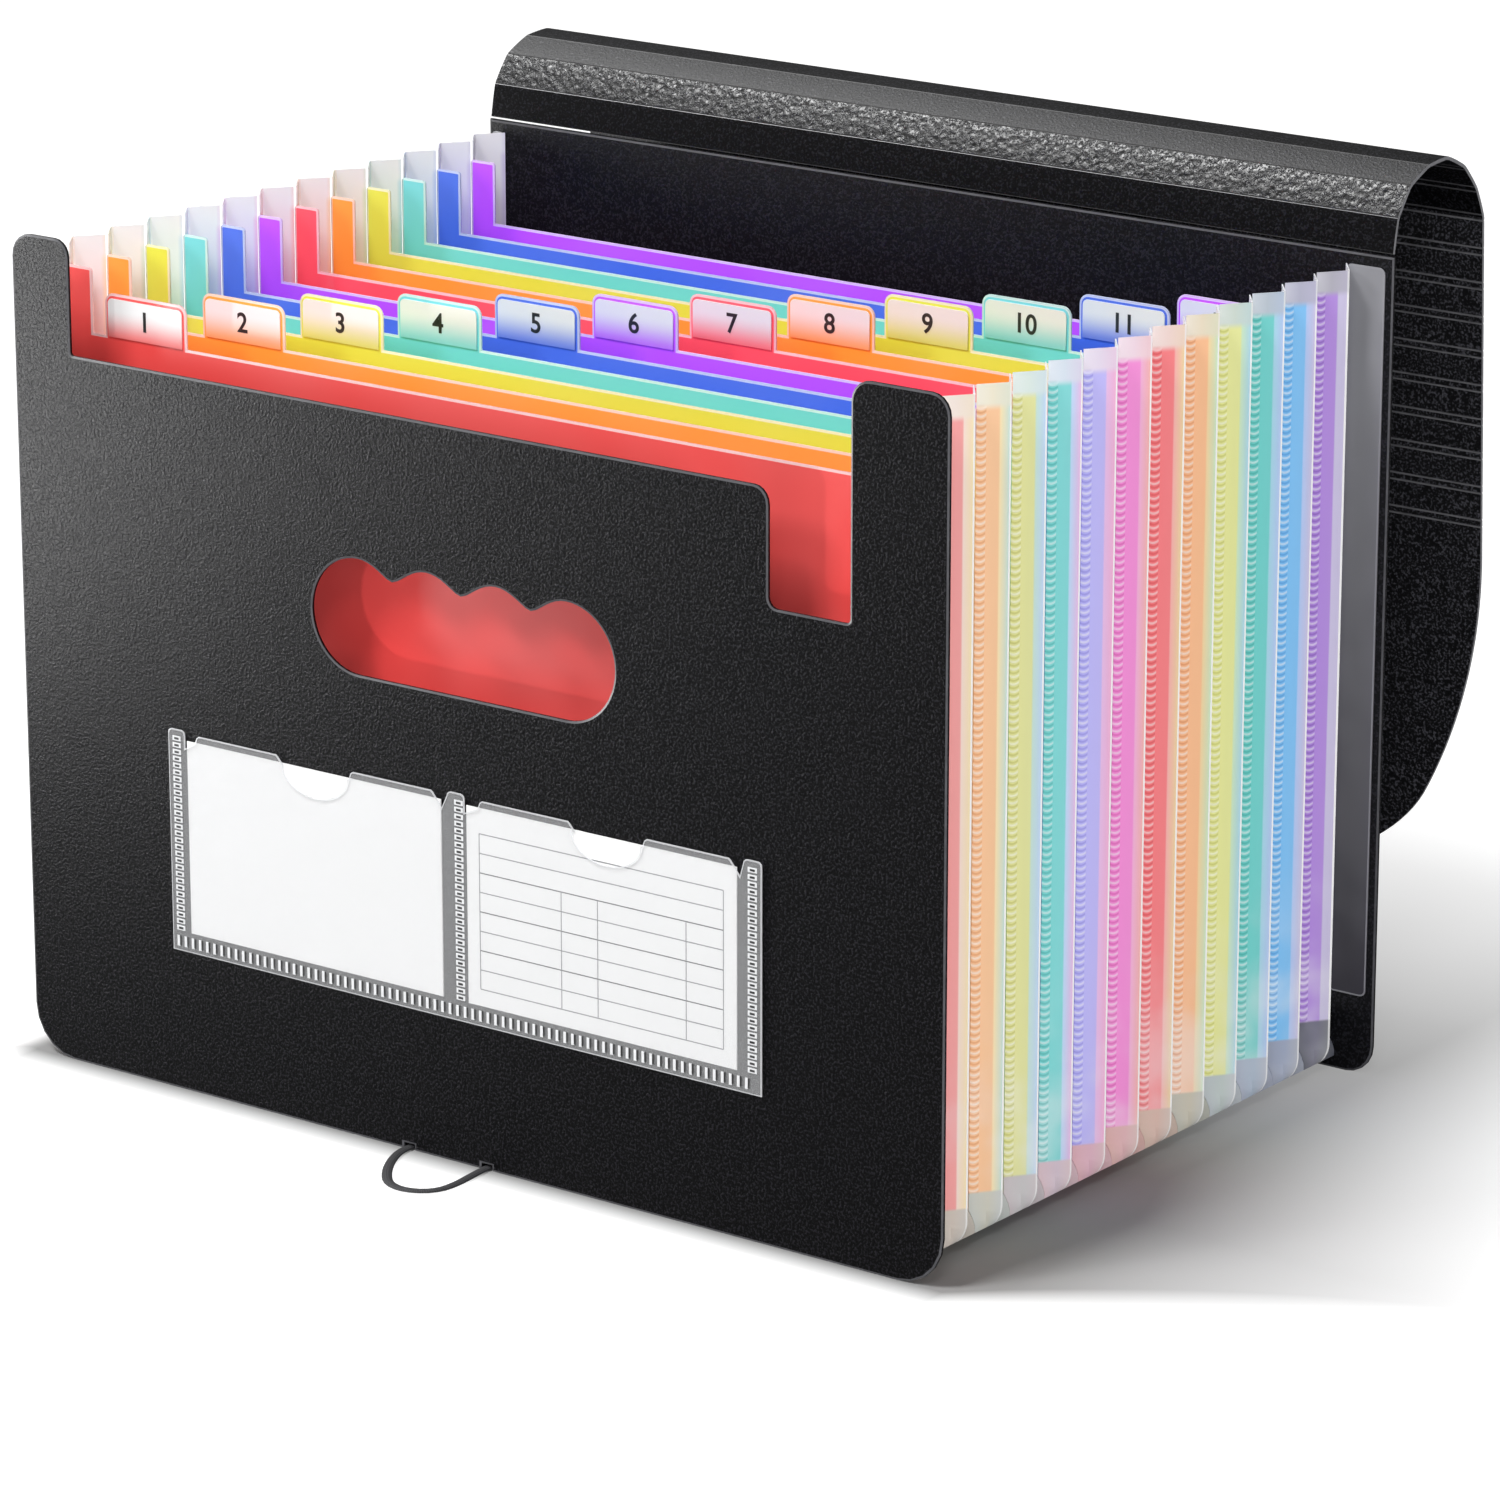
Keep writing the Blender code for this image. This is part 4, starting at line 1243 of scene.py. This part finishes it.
@dataclass
class LabelPocket:
    """Clear film welded on the front cover, and the two cards behind it."""

    rim_width: float = 0.00035
    rim_drop: float = 0.00005
    thickness: float = 0.00035
    seam_height: float = 0.1103
    seam_bend: float = 0.0014
    edge_height: float = 0.1069
    tab_height: float = 0.1095
    tab_slant: float = 0.0035
    steep_share: float = 0.6
    tab_foot: float = 0.0012
    tab_corner: Span = (0.0004, 0.0006)
    tab_room: float = 0.001
    dip: float = 0.1050
    notches: Span = (-0.0533, 0.0515)
    notch_half: float = 0.0122
    notch_depth: float = 0.0078
    notch_steps: int = 16
    tabs: tuple[tuple[Span, ...], ...] = (
        ((-0.0973, -0.0674), (-0.0396, -0.0103)),
        ((0.0073, 0.0385), (0.0653, 0.0941)),
    )
    seam: float = 0.0063
    base_seam: float = 0.0055
    inner: float = 0.0973
    relief: float = 0.00012
    sunk: float = 0.0001
    weld_pitch: float = 0.00275
    weld_width: float = 0.0009
    weld_height: float = 0.0032
    weld_start: float = 0.0017
    weld_base: float = 0.0014
    weld_room: float = 0.002
    core_width: float = 0.0006
    core_base: float = 0.0003
    rung_pitch: float = 0.00205
    rung_size: Span = (0.0030, 0.0014)
    rung_base: float = 0.0008
    rung_room: float = 0.0022
    middle_start: float = 0.0028
    window_width: Span = (0.0007, 0.0024)
    window_height: Span = (0.00035, 0.0010)
    window_relief: float = 1.3
    line: float = 0.00034
    line_depth: float = 0.00004
    line_gap: float = 0.00002
    side_margin: float = 0.0045
    foot_margin: float = 0.0050
    head_margin: float = 0.0075
    rows: int = 8
    dark_rows: tuple[int, ...] = (2, 4, 6)
    columns: tuple[tuple[float, int], ...] = ((0.0, 0), (1.0, 0), (0.34, 2), (0.49, 2), (0.85, 2))

    def outline(self) -> list[Span]:
        """Runs round the film, from the foot of its left side: seams, thumb notches and raised tabs.

        Returns:
            Points as width and height.
        """
        low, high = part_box("label_pocket_film")
        points = [(high[0], low[2]), (low[0], low[2])]
        for side in (0, 1):
            left = low[0] + side * (self.seam + self.inner)
            start = left + self.seam
            stop = left + self.seam + self.inner
            points += self.seam_top(left)
            for tab_left, tab_right in self.tabs[side]:
                past = tab_left > self.notches[side]
                if past:
                    points += self.notch(self.notches[side])
                slant = self.tab_slant * (1 if past else self.steep_share)
                corner, drop = self.tab_corner
                points += [
                    (max(tab_left - self.tab_foot, start), self.edge_height),
                    (tab_left - corner, self.tab_height - drop),
                    (tab_left + corner, self.tab_height),
                    (tab_right - corner, self.tab_height),
                    (tab_right + corner, self.tab_height - drop),
                    (min(tab_right + slant, stop - self.tab_room), self.dip if past else self.edge_height),
                ]
        return points + self.seam_top(low[0] + 2 * (self.seam + self.inner))

    def seam_top(self, left: float) -> list[Span]:
        """Rounded upper end of an upright seam.

        Args:
            left: Where the seam starts.

        Returns:
            Points from left to right.
        """
        bend = self.seam_bend
        turns = [math.radians(angle) for angle in (0, 30, 60, 90)]
        right = left + self.seam
        height = self.seam_height
        rise = [(left + bend * (1 - math.cos(turn)), height - bend * (1 - math.sin(turn))) for turn in turns]
        fall = [(left + right - x, z) for x, z in reversed(rise)]
        return [*rise, *fall, (right, self.dip)]

    def notch(self, middle: float) -> list[Span]:
        """Round thumb notch in the upper edge.

        Args:
            middle: Where it lies across the file.

        Returns:
            Points from left to right.
        """
        turns = [math.pi * step / self.notch_steps for step in range(self.notch_steps + 1)]
        half, depth = self.notch_half, self.notch_depth
        return [(middle - half * math.cos(turn), self.edge_height - depth * math.sin(turn)) for turn in turns]

    def build_film(self) -> None:
        """The film with a pale outline."""
        film = ClearFilm().make("pocket_film")
        edge = ClearFilm("E2E3E6", 0.25, 0.7).make("pocket_film_edge")
        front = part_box("label_pocket_film")[0][1]
        bm = bmesh.new()
        verts = [bm.verts.new((x, front, z)) for x, z in self.outline()]
        edges = [bm.edges.new(pair) for pair in zip(verts, verts[1:] + verts[:1])]
        bmesh.ops.contextual_create(bm, geom=edges)
        thicken(bm, BACK * self.thickness)
        bmesh.ops.recalc_face_normals(bm, faces=bm.faces)
        for face in bm.faces:
            face.material_index = 0 if abs(face.normal.y) > 0.5 else 1
        bmesh.ops.remove_doubles(bm, verts=bm.verts, dist=MERGE_DISTANCE)
        draw_rim(bm, FRONT, self.rim_width, self.rim_drop, 1)
        settle("label_pocket_sheet", bm, [film, edge], "front_cover", ("label_pocket_film",))

    def build_welds(self) -> None:
        """Rows of small weld marks in the seams: a pale bar beside a dark one, which is a painted shadow."""
        (left, front, foot), (right, _, _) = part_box("label_pocket_film")
        pale = ClearFilm("F4F5F7", 0.3, 0.9).make("weld_mark")
        # The dark bars beside the pale weld marks are painted shadow.
        dark = PlainPlastic("161618", 0.35).make("weld_shadow")
        bm = bmesh.new()
        raised = (front - self.relief, front + self.sunk)
        base = foot + self.weld_base
        top = base + self.weld_height
        for index in range(int((right - left - self.weld_room) / self.weld_pitch)):
            x = left + self.weld_start + index * self.weld_pitch
            bar_shadow_start = x + self.weld_width
            add_block(bm, (x, bar_shadow_start), raised, (base, top))
            lower = (front - self.relief / 2, front + self.sunk)
            add_block(bm, (bar_shadow_start, bar_shadow_start + self.core_width), lower, (base + self.core_base, top), 1)
        width, height = self.rung_size
        for upright in range(3):
            start = self.middle_start if upright == 1 else self.weld_start
            x = left + upright * (self.seam + self.inner) + start
            across = [x + reach for reach in self.window_width]
            z = foot + self.base_seam + self.rung_base
            while z < self.seam_height - self.rung_room:
                add_block(bm, (x, x + width), raised, (z, z + height))
                rung_shadow = [z + reach for reach in self.window_height]
                add_block(bm, across, (front - self.relief * self.window_relief, front), rung_shadow, 1)
                z += self.rung_pitch
        settle("label_pocket_welds", bm, [pale, dark], "front_cover")

    def build_cards(self) -> None:
        """Two cards, one of them ruled as a table."""
        paper = Paper("F7F7F7").make("card_stock")
        for side in ("left", "right"):
            dress(f"index_card_{side}", paper)
        low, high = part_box("index_card_right")
        light = PlainPlastic("7E7F82", 0.6).make("ruling_light")
        dark = PlainPlastic("141518", 0.6).make("ruling_dark")
        bm = bmesh.new()
        left, right = low[0] + self.side_margin, high[0] - self.side_margin
        bottom, top = low[2] + self.foot_margin, high[2] - self.head_margin
        front = low[1] - self.line_gap
        depth = (front, front + self.line_depth)
        half = self.line / 2
        for row in range(self.rows + 1):
            z = top - (top - bottom) * row / self.rows
            add_block(bm, (left, right), depth, (z - half, z + half), int(row in self.dark_rows))
        for share, start in self.columns:
            x = left + (right - left) * share
            upper = top - (top - bottom) * start / self.rows
            add_block(bm, (x - half, x + half), depth, (bottom, upper))
        settle("card_ruling", bm, [light, dark], "index_card_right")

    def build(self) -> None:
        """Makes the pocket and its cards."""
        self.build_film()
        self.build_welds()
        self.build_cards()


@dataclass
class Flap:
    """Scored flap: two arched strips, a long panel with score lines, and the plates below it."""

    width: float = 0.329
    thickness: float = 0.001
    hinge_depth: float = 0.21848
    hinge_height: float = 0.2468
    band: float = 0.0103
    leans: tuple[float, ...] = (11.6, 37.0, 66.0, 86.0, 113.5, 136.5, 154.5)
    flatness: float = 0.6
    lead_in: float = 0.0005
    split: int = 3
    wrinkled: int = 2
    panel_lean: float = 177.2
    panel_length: float = 0.1494
    fold_length: float = 0.024
    groove_half: float = 0.0003
    groove_depth: float = 0.00022
    groove_pair: float = 0.0021
    score_half: float = 0.00018
    panel_bands: int = 10
    end_cut: float = 0.00012
    straight_length: float = 0.1751
    full_length: float = 0.281195
    round_share: float = 0.651
    corner: float = 0.030
    round_step: float = 0.0025
    round_steps: int = 50
    stations: tuple[float, ...] = (0.0, 0.25, 0.5, 0.75)

    def joints(self) -> list[Vector]:
        """Axes of the joints, in a plane across the file.

        Returns:
            Points from the hinge to the panel.
        """
        point = Vector((0, FRONT_FACE + self.hinge_depth, self.hinge_height))
        points = [point]
        for lean in self.leans:
            point = point + self.band * self.heading(lean)
            points.append(point)
        return points

    def heading(self, lean: float) -> Vector:
        """Direction that leans back by an angle in degrees from straight up."""
        angle = math.radians(lean)
        return Vector((0, math.sin(angle), math.cos(angle)))

    def half_width(self, distance: float) -> float:
        """Width of the flap: straight, then round, then two corners.

        Args:
            distance: How far from the hinge.

        Returns:
            Half the width.
        """
        past = max(0, distance - self.straight_length) / (self.full_length - self.straight_length)
        half = self.width / 2 * math.sqrt(1 - (past * self.round_share) ** 2)
        into_corner = min(self.corner, max(0, distance - self.full_length + self.corner))
        return half - self.corner + math.sqrt(self.corner**2 - into_corner**2)

    def marks(self) -> list[tuple[float, bool, bool]]:
        """Places along one band.

        Returns:
            Shares of the band, and whether the inner and outer faces are scored there.
        """
        sizes = (self.groove_half, self.groove_pair / 2, self.score_half)
        half, near, thin = (size / self.band for size in sizes)
        places = [(share, False, share == 0) for share in self.stations]
        places += [(thin, False, False), (1 - thin, False, False)]
        for middle in (near, 1 - near):
            places += [(middle - half, False, False), (middle, True, False), (middle + half, False, False)]
        return sorted(places)

    def curve(self) -> list[tuple[Vector, bool, bool, int]]:
        """Smooth line through the joints.

        Returns:
            Points, whether the inner and outer faces are scored there, and the band.
        """
        points = self.joints()
        beyond = points[-1] + self.band * self.heading(self.panel_lean)
        ends = [points[0] - Vector((0, self.lead_in, self.band)), *points, beyond]
        line = []
        for number, four in enumerate(zip(ends, ends[1:], ends[2:], ends[3:])):
            for share, inner, outer in self.marks():
                straight = four[1].lerp(four[2], share)
                place = curve_point(four, share).lerp(straight, self.flatness)
                line.append((place, inner, outer, number + 1))
        line.append((points[-1], False, False, len(self.leans)))
        return line

    def build_arch(self, finishes: list[Material]) -> None:
        """Two curved strips: scored in pairs inside and singly outside, with one wrinkled band.

        Args:
            finishes: Materials in the order of Coat.
        """
        line = self.curve()
        half = self.thickness / 2
        last = len(line) - 1
        cut = self.split * len(self.marks())
        for name, body, first, end, nodes in (
            ("flap_arch_front", "flap_arch_1", 0, cut, range(1, self.split + 1)),
            ("flap_arch_back", "flap_arch_2", cut, last, range(self.split + 1, len(self.leans) + 1)),
        ):
            sides = ([], [])
            numbers = ([], [])
            for index in range(first, end + 1):
                place, *scored, band = line[index]
                ahead = (line[min(index + 1, last)][0] - line[max(index - 1, 0)][0]).normalized()
                out = RIGHT.cross(ahead)
                for side, way in enumerate((-1, 1)):
                    sink = self.groove_depth if scored[side] and index not in (first, end) else 0
                    sides[side].append(place + out * way * (half - sink))
                if index < end:
                    after = line[index + 1]
                    numbers[0].append(Coat.SCORE if scored[0] or after[1] else Coat.BOARD)
                    own = {1: Coat.LOW_BAND, self.wrinkled: Coat.WRINKLES, self.wrinkled + 1: Coat.LIT_BAND}
                    score = Coat.SCORE if band < self.wrinkled else Coat.CREASE
                    plain = Coat.CREASE if scored[1] else own.get(band, Coat.BOARD)
                    numbers[1].append(score if after[2] else plain)
            bm = bmesh.new()
            rows = [[bm.verts.new(point - RIGHT * self.width / 2) for point in points] for points in sides]
            middles = []
            for row, kinds in zip(rows, numbers):
                for one, other, kind in zip(row, row[1:], kinds):
                    bm.edges.new((one, other))
                    middles.append(((one.co + other.co) / 2, kind))
            for place in (0, -1):
                bm.edges.new((rows[0][place], rows[1][place]))
            bmesh.ops.contextual_create(bm, geom=bm.edges[:])
            thicken(bm, RIGHT * self.width)
            for face in bm.faces:
                middle = face.calc_center_median()
                middle.x = -self.width / 2
                near = min(middles, key=lambda item: (item[0] - middle).length)
                face.material_index = Coat.EDGE if len(face.verts) > 4 else near[1]
            stands_for = tuple(f"flap_band_{number}" for number in nodes)
            settle(name, bm, finishes, body, stands_for, smooth_degrees=20)

    def build_plate(
        self,
        name: str,
        body: str,
        reach: Span,
        scores: list[float],
        stands_for: tuple[str, ...],
        finishes: list[Material],
    ) -> None:
        """One flat plate of the hanging part, scored on both faces.

        Args:
            name: Name of the piece.
            body: Body that it rides on.
            reach: Distances from the arch's end where the plate starts and stops.
            scores: Distances of its score lines.
            stands_for: CAD nodes that it replaces.
            finishes: Its materials in order.
        """
        start = self.joints()[-1]
        along = self.heading(self.panel_lean)
        out = along.cross(RIGHT)
        length = reach[1] - reach[0]
        turn = Matrix((RIGHT, out, along)).transposed().to_4x4()
        shape = Matrix.Translation(start + along * (reach[0] + length / 2)) @ turn
        bm = bmesh.new()
        shape @= Matrix.Diagonal((self.width, self.thickness, length, 1.0))
        bmesh.ops.create_cube(bm, size=1.0, matrix=shape)
        bevel_along(bm, RIGHT, self.end_cut, segments=1)
        cuts = [score + shift for score in scores for shift in (-self.groove_half, 0, self.groove_half)]
        before = self.band * len(self.leans)
        turn_in = self.straight_length - before
        cuts += [turn_in + self.round_step * step for step in range(self.round_steps)]
        for cut in cuts:
            if reach[0] + self.end_cut < cut < reach[1] - self.end_cut:
                whole = bm.verts[:] + bm.edges[:] + bm.faces[:]
                plane = {"plane_co": start + along * cut, "plane_no": along}
                bmesh.ops.bisect_plane(bm, geom=whole, dist=MERGE_DISTANCE / 10, **plane)
        for vert in bm.verts:
            place = (vert.co - start).dot(along)
            vert.co.x = math.copysign(self.half_width(before + place), vert.co.x)
            if any(abs(place - score) < MERGE_DISTANCE for score in scores):
                side = 1 if (vert.co - start).dot(out) > 0 else -1
                vert.co -= out * side * self.groove_depth
        for face in bm.faces:
            place = (face.calc_center_median() - start).dot(along)
            if abs(face.normal.x) > 0.3:
                face.material_index = Coat.EDGE
            elif any(abs(place - score) < self.groove_half for score in scores):
                face.material_index = Coat.SCORE
        settle(name, bm, finishes, body, stands_for)

    def build(self) -> None:
        """Makes the flap."""
        wrinkled = {"grain": 0.0018, "cells": "SMOOTH_F1", "depth": 0.0004, "strength": 1.0}
        # EDGE and SCORE are pale lines painted as highlights on the cut edge faces and score lines. LOW_BAND
        # and LIT_BAND are copies of the one black board, duller for the lowest band and paler and shinier for
        # the band above the wrinkles: painted shade and painted highlight that set each band's brightness.
        coats = {
            Coat.BOARD: GrainedPlastic("050506", "28282D", roughness=0.6, shine=0.08),
            Coat.EDGE: CutEdge("8A8A8E"),
            Coat.SCORE: CutEdge("58585B", 0.5),
            Coat.WRINKLES: GrainedPlastic(pale="2C2C31", roughness=0.42, shine=0.3, **wrinkled),
            Coat.CREASE: PlainPlastic("050506", 0.6),
            Coat.LOW_BAND: GrainedPlastic("0A0A0B", "222226", roughness=0.5, shine=0.05),
            Coat.LIT_BAND: GrainedPlastic("08080A", "2C2C31", roughness=0.6, shine=0.22),
        }
        finishes = [coats[place].make(f"flap_{place.name.lower()}") for place in Coat]
        self.build_arch(finishes)
        # The hanging panel gets a paler copy of the black board: painted light on its shaded inner face. Its
        # score lines are pale painted highlights.
        lightened_leaf = GrainedPlastic("161618", "5C5C63", roughness=0.4, shine=0.3).make("flap_leaf")
        finishes = [lightened_leaf, finishes[Coat.EDGE], CutEdge("7C7C80", 0.5).make("leaf_score")]
        scores = [self.groove_pair / 2]
        for number in range(1, self.panel_bands):
            scores += [self.band * number + shift for shift in (-self.groove_pair / 2, self.groove_pair / 2)]
        folded = self.panel_length + self.fold_length
        stop = self.full_length - self.band * len(self.leans)
        folds = ("flap_fold_1", "flap_fold_2", "flap_fold_3")
        for name, body, reach, lines, nodes in (
            ("flap_panel_scored", "flap_panel", (0.0, self.panel_length), scores, ("flap_panel",)),
            ("flap_fold_plate", "flap_fold", (self.panel_length, folded), [], folds),
            ("flap_end_plate", "flap_end", (folded, stop), [], ("flap_end",)),
        ):
            self.build_plate(name, body, reach, lines, nodes, finishes if lines else finishes[:2])
        knob = PlainPlastic("2A2A2D", 0.28).make("button_shell")
        for node in ("closure_button", "button_washer"):
            dress(node, knob)


def main() -> None:
    """Builds the file piece by piece and reports each one."""
    logging.basicConfig(level=logging.INFO, format="%(name)s: %(message)s")
    studio = Studio()
    studio.build_camera()
    ElasticLoop().build()
    LOG.info("elastic loop done")
    board = GrainedPlastic().make("grained_board")
    # Paler copy of the black board for the back cover: painted light on its shaded inner face.
    lightened_back_board = GrainedPlastic(dark="101012", pale="29292E").make("lightened_back_board")
    # Pale rim of both covers: a painted highlight along the cut edges.
    edge = CutEdge().make("edge_highlight")
    dress("loop_anchor", board)
    Covers().build({"front_cover": board, "back_cover": lightened_back_board}, edge)
    LOG.info("covers done")
    Flap().build()
    LOG.info("flap done")
    Dividers().build()
    LOG.info("dividers done")
    Bellows().build()
    LOG.info("bellows done")
    LabelPocket().build()
    LOG.info("label pocket done")
    studio.build()
    LOG.info("studio done")
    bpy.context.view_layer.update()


if __name__ == "__main__":
    main()
